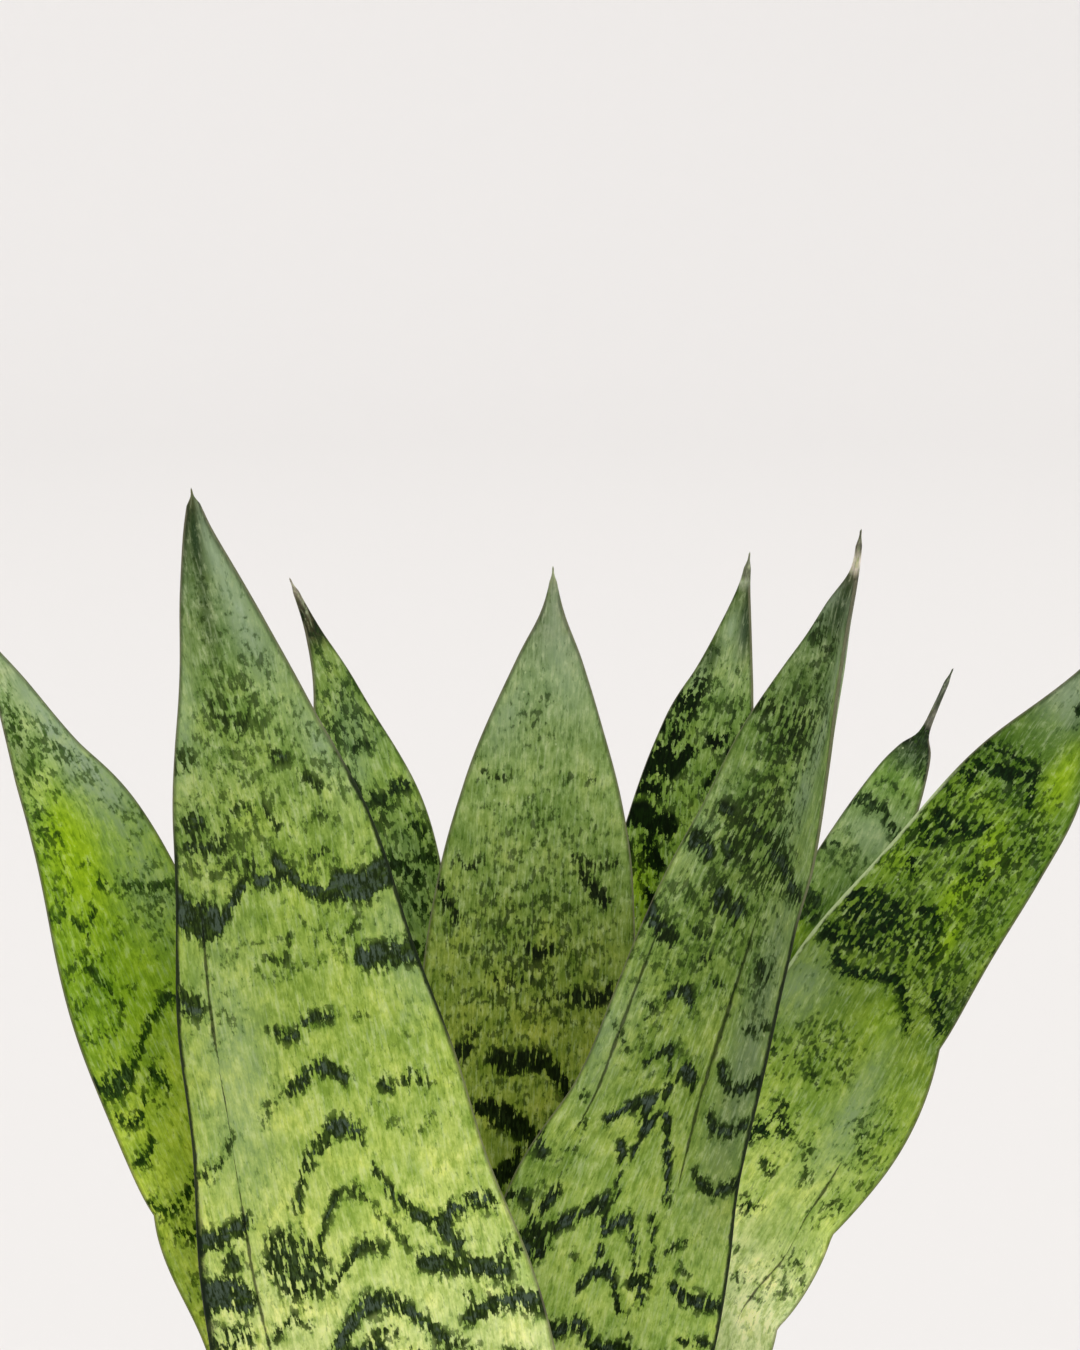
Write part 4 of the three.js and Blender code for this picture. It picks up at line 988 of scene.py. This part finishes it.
# Front right leaf: a deeply channelled blade that turns its right half towards the viewer
# and ends in a dried thread, pale where it has shrunk thinnest.
leaf = grow_leaf(
    "leaf_front_right",
    stations=[
        [11, -16, 124, 11], [11.5, -15, 152, 17], [12.5, -15.5, 185, 24], [18.6, -17, 221, 26.6],
        [26.5, -19, 251, 25], [34.3, -21.5, 272, 20.6], [41.5, -24, 292, 18.9], [48.9, -27, 313, 18.2],
        [55.8, -30, 329, 17.2], [61.9, -35.5, 347, 14.2], [65.6, -41, 362, 10.2],
        [67.8, -45.5, 374, 5.2], [69.5, -49.5, 383, 1.2], [70.2, -52, 391, 0.5],
    ],
    yaw=[-14, -8, -23, -50, -52], fold=[26, 22, 30, 39, 42], wave=0.6, seed=21.7,
    bands=[
        [9, 0.5, (-0.75, 23), (-0.4, 25), (0, 24)],
        [7, 0.62, (-0.95, 42), (-0.7, 43), (-0.4, 45), (-0.05, 44)],
        [4, 0.75, (-0.5, 49), (-0.3, 48), (-0.05, 50)], [3, 0.7, (-0.2, 52), (-0.1, 54), (0, 57)],
        [5, 0.8, (-0.78, 67), (-0.6, 67.5)], [6, 0.9, (-0.9, 76), (-0.75, 76), (-0.62, 77.5)],
        [5, 0.8, (-0.4, 66), (-0.25, 68.5), (-0.08, 69), (0, 72)], [6, 0.8, (-0.5, 74), (-0.4, 76)],
        [6, 0.8, (0.05, 72), (0.3, 71), (0.6, 73), (0.9, 74)], [5, 0.7, (-0.3, 74), (-0.1, 76)],
        [7, 0.9, (-0.32, 84), (-0.2, 85)], [8, 0.75, (-0.08, 85), (0.04, 86)],
        [6, 0.95, (-0.97, 91), (-0.8, 94), (-0.6, 95)], [3.5, 0.8, (-0.45, 92), (-0.3, 93), (-0.2, 91)],
        [7, 0.7, (0.55, 92), (0.75, 93)], [3.5, 0.9, (-0.22, 97), (-0.1, 96)],
        [3.5, 0.85, (-0.02, 101), (0.1, 100.5)],
        [4.5, 1, (-0.45, 106.5), (-0.35, 104.5), (-0.25, 104.5), (-0.16, 107)],
        [4, 0.8, (0.6, 106), (0.75, 104.5), (0.92, 103)], [3, 0.9, (-0.62, 109), (-0.52, 110)],
        [5, 0.95, (0.45, 115.5), (0.6, 118), (0.72, 118), (0.85, 115.5), (0.98, 113.5)],
        [4.5, 0.9, (0.48, 126), (0.6, 127.5), (0.75, 126.5), (0.95, 123)],
        [4.5, 0.85, (0.5, 137.5), (0.62, 139), (0.75, 139), (0.9, 136), (1, 134)],
        [3.5, 0.8, (0.42, 156.5), (0.5, 154), (0.6, 152)], [4, 0.6, (0.56, 158), (0.66, 158.5)],
        [5, 0.9, (0.55, 162.5), (0.68, 164), (0.8, 163.5), (0.97, 162)], [4, 0.8, (0.7, 173), (0.95, 171)],
        [4.2, 1, (-0.38, 121), (-0.27, 117.5), (-0.18, 117), (-0.13, 119.5), (-0.1, 124)],
        [3.2, 0.85, (-0.58, 113), (-0.5, 115)], [3.2, 0.8, (-0.85, 116), (-0.7, 117.5), (-0.62, 120)],
        [5.5, 1, (-0.12, 139), (-0.08, 132), (-0.04, 125), (0, 120.5), (0.1, 119.5), (0.2, 121.5)],
        [6, 1, (0.02, 130), (0.1, 133), (0.19, 137), (0.26, 141), (0.3, 146)],
        [5, 1, (-0.5, 134.5), (-0.4, 131.5), (-0.3, 129.5), (-0.2, 128.5), (-0.12, 127)],
        [8, 0.85, (-0.19, 131), (-0.14, 134)], [3.5, 0.75, (-0.73, 137), (-0.66, 137.5)],
        [3.5, 0.75, (-0.72, 142.5), (-0.64, 142.5)], [4, 0.7, (-0.9, 131), (-0.82, 132)],
        [4.6, 1, (-0.28, 139), (-0.2, 141.5), (-0.16, 146), (-0.13, 149)],
        [5, 1, (-0.76, 161), (-0.6, 160), (-0.5, 157.5), (-0.38, 155), (-0.28, 152), (-0.2, 151)],
        [7, 0.85, (-0.72, 164), (-0.55, 163)], [6.5, 1, (-0.2, 151), (-0.16, 155), (-0.13, 161)],
        [5, 1, (-0.12, 156.5), (-0.04, 153.5), (0.04, 153), (0.1, 155), (0.17, 159), (0.24, 164),
         (0.32, 168)],
        [7, 0.8, (0.26, 151), (0.3, 156), (0.34, 161)], [5, 0.9, (0.2, 165), (0.34, 164)],
        [4.5, 1, (-0.2, 169), (-0.12, 166), (-0.03, 164), (0.04, 165), (0.1, 168.5), (0.18, 172)],
        [5, 0.6, (-0.32, 162), (-0.28, 165)], [5, 0.7, (0.25, 173), (0.28, 176)],
        [5, 0.85, (-1, 142), (-0.85, 145)], [4, 0.85, (-1, 154), (-0.85, 153.5), (-0.78, 155)],
        [9, 0.75, (-0.7, 157), (-0.64, 152)],
    ] + wild_bands(178, 280, -1, 1, 49),
    clouds=[
        [44, -0.4, 7, 0.7, 0.52], [40, 0.5, 8, 0.4, 0.26], [56, -0.2, 10, 0.6, 0.42],
        [70, -0.3, 9, 0.8, 0.5], [74, 0.4, 7, 0.5, 0.34], [86, -0.3, 8, 0.8, 0.4], [96, 0.6, 10, 0.4, 0.28],
        [100, -0.4, 8, 0.7, 0.3], [118, -0.3, 12, 0.8, 0.2], [150, -0.8, 12, 0.25, 0.24],
        [32, -0.3, 7, 0.6, 0.38],
    ],
    # Painted light shining through the blade; negative amounts are painted shade.
    backlight_and_shade=[
        [18, -0.2, 8, 0.6, -0.7], [34, 0.6, 14, 0.35, 0.3], [110, 0.75, 40, 0.3, -0.55],
        [150, -0.6, 12, 0.3, -0.2], [142, -0.1, 26, 0.3, 0.2], [78, -0.3, 18, 0.8, -0.3],
    ],
    # Waxy bloom with a painted sheen of reflected light.
    bloom=[
        [17, -0.9, 6, 0.25, 0.7], [100, 0.75, 40, 0.3, 0.3], [75, -0.85, 14, 0.2, 0.3],
        [118, -0.85, 12, 0.2, 0.35], [40, 0.35, 16, 0.3, 0.5], [60, 0.2, 12, 0.2, 0.4],
        [38, 0.42, 22, 0.12, 0.4],
    ],
    # Creases: grooves in the relief with a painted shade line along them.
    creases=[
        [
            [92, -0.8, 0.1], [98, -0.79, 0.35], [118, -0.78, 0.45], [128, -0.75, 0.4], [135, -0.73, 0.3],
            [137, -0.73, 0.05],
        ],
        [
            [82, 0.27, 0.05], [90, 0.3, 0.45], [112, 0.31, 0.6], [126, 0.33, 0.55], [134, 0.36, 0.45],
            [142, 0.38, 0.05],
        ],
    ],
)
leaf_skin(
    leaf, "front_right_skin", seed=21.7, dash=3.2, fleck=1.8,
    ground_and_light=[
        (0, (80, 76, 68)), (4, (92, 88, 78)), (5.5, (214, 208, 196)), (8, (206, 198, 184)),
        (9.5, (74, 78, 52)), (15, (104, 120, 92)), (26, (124, 148, 92)), (50, (126, 154, 76)),
        (80, (128, 154, 74)), (120, (132, 156, 68)), (170, (170, 194, 96)), (250, (180, 200, 122)),
    ],
    # Painted shadow where the blade lies over the far right leaf, over its margin's own dark green.
    rims=[(1, 80, 178, 0.9, MARGIN_AND_SHADOW_GREEN)],
)

# Small right leaf: a young narrow blade whose tip has dried to a grey thread above a nearly
# black apex.
leaf = grow_leaf(
    "leaf_small_right",
    stations=[
        [23, 13, 124, 8.5], [24.5, 13, 165, 9.8], [29.5, 12, 214, 11], [39.5, 11.5, 240, 10.8],
        [52.5, 13, 269, 10.8], [62, 16, 288.5, 10.6], [70, 19.5, 305, 10], [77.2, 23.5, 319.5, 8.2],
        [83, 27, 330.5, 5.8], [86.2, 29.5, 336, 3.7], [88, 31, 339.5, 1.2],
        [90.6, 33, 345, 0.6], [94, 36, 352, 0.5],
    ],
    yaw=[20, 4, -12, -20, -22], fold=[34, 22, 14, 12, 20], wave=0.4, seed=25.1,
    bands=[
        [5, 1, (-1, 15.5), (1, 16.5)], [4, 0.55, (-0.6, 21), (0.2, 20)], [7, 0.6, (0.5, 21), (1, 22)],
        [2.5, 0.75, (-0.6, 28.5), (-0.2, 27.5), (0.2, 28), (0.6, 30)], [3, 0.6, (-1, 31), (-0.7, 31.5)],
        [2, 0.6, (-0.3, 24), (0.3, 24.5)],
        [4, 0.95, (-0.9, 33.5), (-0.6, 32.5), (-0.3, 33.5), (0, 33), (0.3, 35.5), (0.6, 36.5)],
        [3, 0.85, (-0.95, 45), (-0.75, 43.5), (-0.55, 43)], [3.5, 0.6, (-0.1, 47), (0.1, 47)],
        [5, 1, (-0.9, 54), (-0.65, 56), (-0.4, 56)], [4, 0.85, (-0.8, 60), (-0.3, 59)],
    ] + wild_bands(58, 72, 0, 1, 50) + wild_bands(74, 230, -1, 1, 51),
    clouds=[
        [21, 0, 3, 1, 0.35], [44, -0.5, 5, 0.5, 0.42], [48, 0.3, 5, 0.4, 0.34], [57, -0.6, 5, 0.5, 0.36],
    ],
    # Painted light shining through the blade; negative amounts are painted shade.
    backlight_and_shade=[[19, 0, 4, 1, -0.4], [63, -0.6, 4, 0.4, 0.5]],
    # Waxy bloom with a painted sheen of reflected light.
    bloom=[[39, 0.1, 5, 0.8, 0.4], [21, 0, 3, 0.6, 0.2]],
)
leaf_skin(
    leaf, "small_right_skin", seed=25.1, dash=2.2, fleck=2.2, bands_dark=(54, 78, 30), band_reflection=0.2,
    ground_and_light=[
        (0, (92, 94, 86)), (9, (88, 90, 80)), (13.2, (112, 110, 98)), (14, (10, 13, 7)),
        (17.5, (14, 22, 10)), (20.5, (84, 106, 60)), (26, (134, 166, 80)), (38, (142, 166, 104)),
        (55, (122, 152, 68)), (68, (110, 142, 38)), (120, (114, 144, 50)), (210, (160, 182, 104)),
    ],
)

# Far right leaf: it leans out to the right, folded along its midrib, with a few old nicks in
# its right margin. It is flecked all over near its tip and pale and nearly plain below, its
# own pale colour with painted light shining through it from behind, and its middle has
# patches of painted glow.
leaf = grow_leaf(
    "leaf_far_right",
    stations=[
        [28, -4, 124, 10.5], [30, -2, 152, 13.4], [34, -0.5, 188, 16.4], [40.7, 0, 222, 17.6],
        [52.3, 0.5, 246, 19.2], [64.3, 1, 267, 20.7], [75.5, 0.5, 288, 18.8], [86.7, -1, 306, 16.4],
        [97.7, -3, 323, 14.2], [106.7, -5, 335.5, 11.8], [115, -8, 348.5, 7.2],
        [121.7, -11, 360.5, 3], [126, -13, 369, 1.1], [128, -14, 373, 0.5],
    ],
    yaw=[28, 2, -12, -16, -20], fold=[32, 24, 14, 12, 26], wave=0.9, seed=29.9,
    nicks=[[289, 1, 1.8, 8], [250, 1, 2, 8], [229.5, 1, 2.2, 7]],
    bands=[
        [4, 0.75, (0, 26), (0.6, 27)],
        [3.5, 0.78, (-0.95, 43), (-0.6, 42), (-0.3, 41.5), (-0.05, 40.5), (0.1, 42)],
        [6, 0.78, (-0.8, 47), (-0.5, 46), (-0.2, 45), (0, 43), (0.15, 45.5), (0.25, 48)],
        [6, 0.75, (-0.98, 50), (-0.7, 51)], [4, 0.7, (-0.95, 56), (-0.7, 55.5)],
        [6, 0.78, (-0.75, 60), (-0.5, 61), (-0.2, 59), (-0.05, 57)],
        [4.5, 0.82, (-0.85, 63), (-0.6, 66), (-0.45, 64.5)], [4.5, 0.84, (-0.68, 70.5), (-0.45, 72.5)],
        [3.5, 0.75, (0.02, 65), (0.2, 64.5), (0.35, 66)], [11, 0.72, (-0.85, 84), (-0.6, 84), (-0.35, 83)],
        [7, 0.7, (-0.9, 92), (-0.6, 91), (-0.3, 89)],
        [4.5, 0.82, (-0.15, 78), (0.05, 77.5), (0.2, 80), (0.3, 85)],
        [4, 0.92, (-0.65, 95), (-0.45, 97), (-0.25, 95.5), (-0.05, 93.5), (0.1, 93), (0.25, 94.5),
         (0.38, 97), (0.5, 100)],
        [8, 0.7, (0.6, 91), (0.75, 93), (0.85, 96)],
        [3, 0.65, (-0.36, 113.5), (-0.2, 114), (0, 114), (0.15, 115)], [3, 0.7, (-0.53, 118), (-0.4, 117)],
        [3, 0.75, (-0.3, 117.5), (-0.15, 119), (0, 119.5)], [4, 0.6, (-0.75, 117), (-0.6, 117.5)],
        [3, 0.6, (-0.8, 123), (-0.66, 123)], [3.5, 0.75, (-0.38, 126.5), (-0.22, 127)],
        [6, 0.66, (-0.32, 129.5), (-0.1, 131.5)], [4.5, 0.85, (-0.45, 133), (-0.3, 133.5)],
        [4, 0.7, (-0.2, 139), (-0.04, 140)], [4.5, 0.75, (-0.2, 148), (-0.06, 148.5)],
        [3, 0.5, (-0.02, 147), (0.05, 148)], [5, 0.8, (-0.6, 135), (-0.42, 136)],
        [6, 0.5, (0.12, 131), (0.2, 134), (0.3, 137.5)], [4, 0.6, (0.45, 123), (0.6, 125)],
        [4.5, 0.6, (0.62, 126), (0.72, 127.5)], [4, 0.62, (0.68, 139), (0.85, 139)],
        [3, 0.55, (0.8, 133), (0.93, 132)], [3.5, 0.62, (0.62, 153.5), (0.75, 153)],
        [3.5, 0.65, (0.78, 156), (0.92, 157)], [3, 0.6, (0.66, 159), (0.8, 160)],
        [4, 0.6, (0.16, 162), (0.24, 163)], [3, 0.55, (0.02, 157), (0.08, 158)],
        [3, 0.5, (0.5, 164), (0.6, 164)],
    ] + wild_bands(182, 262, -1, 1, 52),
    clouds=[
        [24, 0.2, 3, 0.6, 0.3], [47, -0.4, 7, 0.7, 0.48], [54, 0.6, 8, 0.4, 0.46], [60, -0.5, 7, 0.6, 0.42],
        [67, 0.3, 8, 0.5, 0.46], [68, -0.8, 6, 0.3, 0.36], [84, -0.5, 10, 0.5, 0.42],
        [85, 0.15, 9, 0.5, 0.5], [90, 0.8, 8, 0.3, 0.35], [76, 0.75, 8, 0.25, 0.2],
        [110, -0.25, 3.5, 0.35, 0.32], [117, -0.5, 6, 0.35, 0.2], [132, -0.3, 8, 0.4, 0.18],
        [124, 0.7, 8, 0.3, 0.25], [158, 0.7, 7, 0.3, 0.22], [140, 0.7, 6, 0.25, 0.2],
    ],
    # Painted light shining through the blade; negative amounts are painted shade.
    backlight_and_shade=[
        [40, 0.5, 10, 0.35, 0.75], [58, 0.1, 5, 0.16, 0.6], [63, 0.35, 5, 0.12, 0.55],
        [72, 0.1, 7, 0.18, 0.7], [80, 0.38, 7, 0.12, 0.65], [73, -0.75, 5, 0.3, 0.45],
        [102, 0.2, 9, 0.3, 0.45], [96, -0.3, 6, 0.4, -0.15], [53, -0.4, 4, 0.5, 0.4],
        [85, -0.55, 7, 0.3, -0.5], [90, 0.85, 8, 0.2, -0.5], [114, 0.7, 8, 0.3, 0.3],
    ],
    # Waxy bloom with a painted sheen of reflected light.
    bloom=[
        [25, -0.4, 6, 0.6, 0.7], [104, -0.8, 7, 0.3, 0.5], [128, 0.4, 16, 0.25, 0.3],
        [118, 0.35, 12, 0.12, 0.3],
    ],
    # Creases: grooves in the relief with a painted shade line along them.
    creases=[[
        [130, 0.53, 0.05], [134, 0.54, 0.4], [146, 0.56, 0.3], [149, 0.56, 0.03], [153, 0.56, 0.1],
        [155, 0.55, 0.4], [161, 0.48, 0.35], [167, 0.44, 0.3], [170, 0.43, 0.03],
    ]],
)
leaf_skin(
    leaf, "far_right_skin", seed=29.9, dash=2.2, fleck=3.6, bands_dark=(18, 46, 4), band_reflection=0.1,
    ground_and_light=[
        (10, (120, 138, 108)), (24, (118, 138, 98)), (31, (96, 128, 54)), (45, (104, 138, 46)),
        (70, (122, 154, 50)), (100, (118, 145, 48)), (125, (154, 182, 74)), (145, (208, 228, 122)),
        (165, (247, 254, 190)), (200, (232, 240, 184)), (240, (196, 210, 148)),
    ],
    # A painted rim of light along the left margin, over the margin's own pale colour.
    rims=[(-1, 56, 104, 0.75, PALE_PORE_AND_RIM_LIGHT)],
)

# Potting soil: dark crumbs of peat and chips of bark with pale grit, filled in round the
# leaves' feet to a little under the lip of the pot.
SOIL_LEVEL = 120.5
SOIL_FALL = 3
SOIL_RELIEF = 0.6
SOIL_GAP = 0.35
SOIL_FOOT_INSET = 2
SOIL_WALL_INSET = 0.3
SOIL_RINGS = 110
SOIL_SIDES = 260
CRUMB_SPANS = [6, 9, 7, 13]
CRUMB_RISE = 1.1
CRUMB_WIDTH = 4.5
LUMP_TILT = 0.5
LUMP_WIDTHS = (0.5, 0.9)
DENT_DEPTH = 0.45
DENT_CROWDING = 1.4
DENT_SHIFT = 9
DAMP_DARK = (0.55, 0.52, 0.5, 1)
FOOT_CLEARANCE = 4.5
soil_edge = pot_inside(SOIL_LEVEL) - SOIL_GAP


def soil_height(x, y):
    """Height of the soil's top at a place on it, the same as in the solid, with finer crumbs."""
    fall = SOIL_FALL * (math.hypot(x, y) / soil_edge) ** 2
    a, b, c, d = CRUMB_SPANS
    slow = SOIL_RELIEF * math.sin(x / a + y / b) * math.cos(y / c - x / d)
    crumbs = CRUMB_RISE * noise.fractal((x / CRUMB_WIDTH, y / CRUMB_WIDTH, 0.7), 0.8, 2.1, 5)
    return SOIL_LEVEL - fall + slow + crumbs


soil_floor = POT_FLOOR + SOIL_GAP
soil_outline = [
    (pot_inside(POT_FLOOR) - SOIL_GAP - SOIL_FOOT_INSET, soil_floor),
    (pot_inside(COLLAR_BOTTOM) - SOIL_GAP - SOIL_WALL_INSET, COLLAR_BOTTOM),
    *[(soil_edge * k / SOIL_RINGS, None) for k in range(SOIL_RINGS, 0, -1)],
]
points = [(0, 0, soil_floor)]
for radius, height in soil_outline:
    for x, y in circle(radius, SOIL_SIDES):
        points.append((x, y, soil_height(x, y) if height is None else height))
points.append((0, 0, soil_height(0, 0)))
soil = make_piece("potting_soil", points, turned_faces(len(soil_outline), SOIL_SIDES), slot="soil")
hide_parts("soil")


def from_foot(x, y):
    """How far a place on the soil lies from the nearest leaf."""
    nearest = 1e9
    for (foot_x, foot_y, _, half), yaw in leaf_feet:
        turned = math.radians(yaw)
        right = (x - foot_x) * math.cos(turned) + (y - foot_y) * math.sin(turned)
        front = (y - foot_y) * math.cos(turned) - (x - foot_x) * math.sin(turned)
        nearest = min(nearest, math.hypot(max(abs(right) - half, 0), front))
    return nearest


def scatter(name, count, seed, least, most, flatness, raised, material):
    """Small rough lumps strewn on the soil by a seeded draw, as one piece. raised is how far a
    lump's middle stands above the soil, as a share of its height."""
    ball = bmesh.new()
    bmesh.ops.create_icosphere(ball, subdivisions=2, radius=1)
    shape = np.array([vertex.co[:] for vertex in ball.verts])
    shape_faces = np.array([[vertex.index for vertex in face.verts] for face in ball.faces])
    ball.free()
    draw = random.Random(seed)
    points, faces = [], []
    while len(faces) < count * len(shape_faces):
        size = least + (most - least) * draw.random() ** 2
        radius = (soil_edge - size) * math.sqrt(draw.random())
        angle = draw.uniform(0, 2 * math.pi)
        x, y = radius * math.cos(angle), radius * math.sin(angle)
        lean = draw.uniform(-LUMP_TILT, LUMP_TILT)
        tilt = Euler((lean, draw.uniform(-LUMP_TILT, LUMP_TILT), draw.uniform(0, 2 * math.pi)))
        rough = Vector([draw.uniform(-DENT_SHIFT, DENT_SHIFT) for _ in range(3)])
        if from_foot(x, y) < FOOT_CLEARANCE + size:
            continue
        dents = [1 + DENT_DEPTH * noise.noise(Vector(point) * DENT_CROWDING + rough) for point in shape]
        lump = shape * np.array(dents)[:, None] * size * np.array([1, draw.uniform(*LUMP_WIDTHS), flatness])
        lump = lump @ np.array(tilt.to_matrix()).T
        start = len(points)
        points += (lump + [x, y, soil_height(x, y) + raised * size * flatness]).tolist()
        faces += (shape_faces + start).tolist()
    make_piece(name, points, faces, slot="soil").data.materials.append(material)


def soil_finish(name, dark, light, scale, roughness=0.95):
    """A dull crumbly finish between two colours."""
    material, shader, add = new_material(name)
    place = add("TexCoord").outputs["Object"]
    crumb = noise_at(add, place, scale, 6.0, 0.7)
    broad = noise_at(add, place, scale / 9, 2.0)
    colour = blend_colours(add, ease(add, crumb, 0.35, 0.7), paint(*dark), paint(*light))
    colour = blend_colours(add, ease(add, broad, 0.4, 0.65, 0.5), colour, DAMP_DARK, "MULTIPLY")
    roughness = math_node(add, "MULTIPLY_ADD", crumb, -0.1, roughness)
    join(add, shader, colour, roughness, crumb, 0.7, 0.0008)
    return material


soil.data.materials.append(soil_finish("peat", (46, 35, 28), (92, 72, 56), 420.0))
scatter(
    "peat_crumbs", count=1000, seed=3, least=0.8, most=2.6, flatness=0.8, raised=0.3,
    material=soil_finish("peat_crumb", (40, 30, 24), (84, 64, 48), 600.0),
)
scatter(
    "bark_chips", count=260, seed=4, least=1.8, most=5, flatness=0.35, raised=0.5,
    material=soil_finish("bark", (74, 50, 34), (132, 98, 68), 500.0, 0.85),
)
scatter(
    "pale_grit", count=170, seed=5, least=0.8, most=2.2, flatness=0.85, raised=0.3,
    material=soil_finish("grit", (206, 202, 192), (236, 233, 226), 700.0),
)

# Studio: a pale floor that sweeps up all round into a low wall, even light from all round
# with two broad soft suns, and the camera a little above the leaves.
FLOOR_FLAT = 4000
SWEEP = 1500
WALL_TOP = 2600
SWEEP_STEPS = 12
FLOOR_SIDES = 96
FLOOR_WHITE = (229, 227, 226)
SKY_STRENGTH = 0.74
SKY_WHITE = (1, 0.99, 0.98, 1)
sweep = [(0, 0), (FLOOR_FLAT, 0)]
for k in range(1, SWEEP_STEPS + 1):
    angle = math.pi / 2 * k / SWEEP_STEPS
    sweep.append((FLOOR_FLAT + SWEEP * math.sin(angle), SWEEP * (1 - math.cos(angle))))
sweep.append((FLOOR_FLAT + SWEEP, WALL_TOP))
points = [(0, 0, 0)]
for radius, height in sweep[1:]:
    points += [(x, y, height) for x, y in circle(radius, FLOOR_SIDES)]
faces = [(0, 1 + k, 1 + (k + 1) % FLOOR_SIDES) for k in range(FLOOR_SIDES)]
for ring in range(len(sweep) - 2):
    for k in range(FLOOR_SIDES):
        a, b = 1 + ring * FLOOR_SIDES + k, 1 + ring * FLOOR_SIDES + (k + 1) % FLOOR_SIDES
        faces.append((a, a + FLOOR_SIDES, b + FLOOR_SIDES, b))
floor = make_piece("studio_floor", points, faces)
paper, shader, add = new_material("floor_paper")
shader.inputs["Base Color"].default_value = paint(*FLOOR_WHITE)
shader.inputs["Roughness"].default_value = 0.9
shader.inputs["Specular IOR Level"].default_value = 0.0
floor.data.materials.append(paper)

world = bpy.data.worlds.new("studio_sky")
bpy.context.scene.world = world
world.use_nodes = True
world.node_tree.nodes["Background"].inputs["Color"].default_value = SKY_WHITE
world.node_tree.nodes["Background"].inputs["Strength"].default_value = SKY_STRENGTH


def soft_sun(name, azimuth, elevation, strength, width, tint=(1, 1, 1)):
    """A broad soft sun that shines from an azimuth round the plant, 0 being the viewer's side."""
    light = bpy.data.lights.new(name, "SUN")
    light.energy = strength
    light.angle = math.radians(width)
    light.color = tint
    lamp = bpy.data.objects.new(name, light)
    turned, raised = math.radians(azimuth), math.radians(elevation)
    level = math.cos(raised)
    towards = Vector((math.sin(turned) * level, -math.cos(turned) * level, math.sin(raised)))
    lamp.rotation_euler = towards.to_track_quat("Z", "Y").to_euler()
    bpy.context.scene.collection.objects.link(lamp)


soft_sun("key", azimuth=30, elevation=48, strength=1.15, width=50)
soft_sun("back", azimuth=205, elevation=50, strength=0.6, width=50, tint=(1, 0.98, 0.93))

AIM = Vector((0.009, 0, 0.356))
DISTANCE = 1.2
RAISED = math.radians(8)
VIEW_HEIGHT = 0.27
camera_data = bpy.data.cameras.new("camera")
camera = bpy.data.objects.new("camera", camera_data)
bpy.context.scene.collection.objects.link(camera)
camera.location = AIM + DISTANCE * Vector((0, -math.cos(RAISED), math.sin(RAISED)))
camera.rotation_euler = (AIM - camera.location).to_track_quat("-Z", "Y").to_euler()
camera_data.lens = camera_data.sensor_width * DISTANCE / VIEW_HEIGHT
camera_data.clip_end = 100
bpy.context.scene.camera = camera
bpy.context.scene.view_settings.view_transform = "Standard"
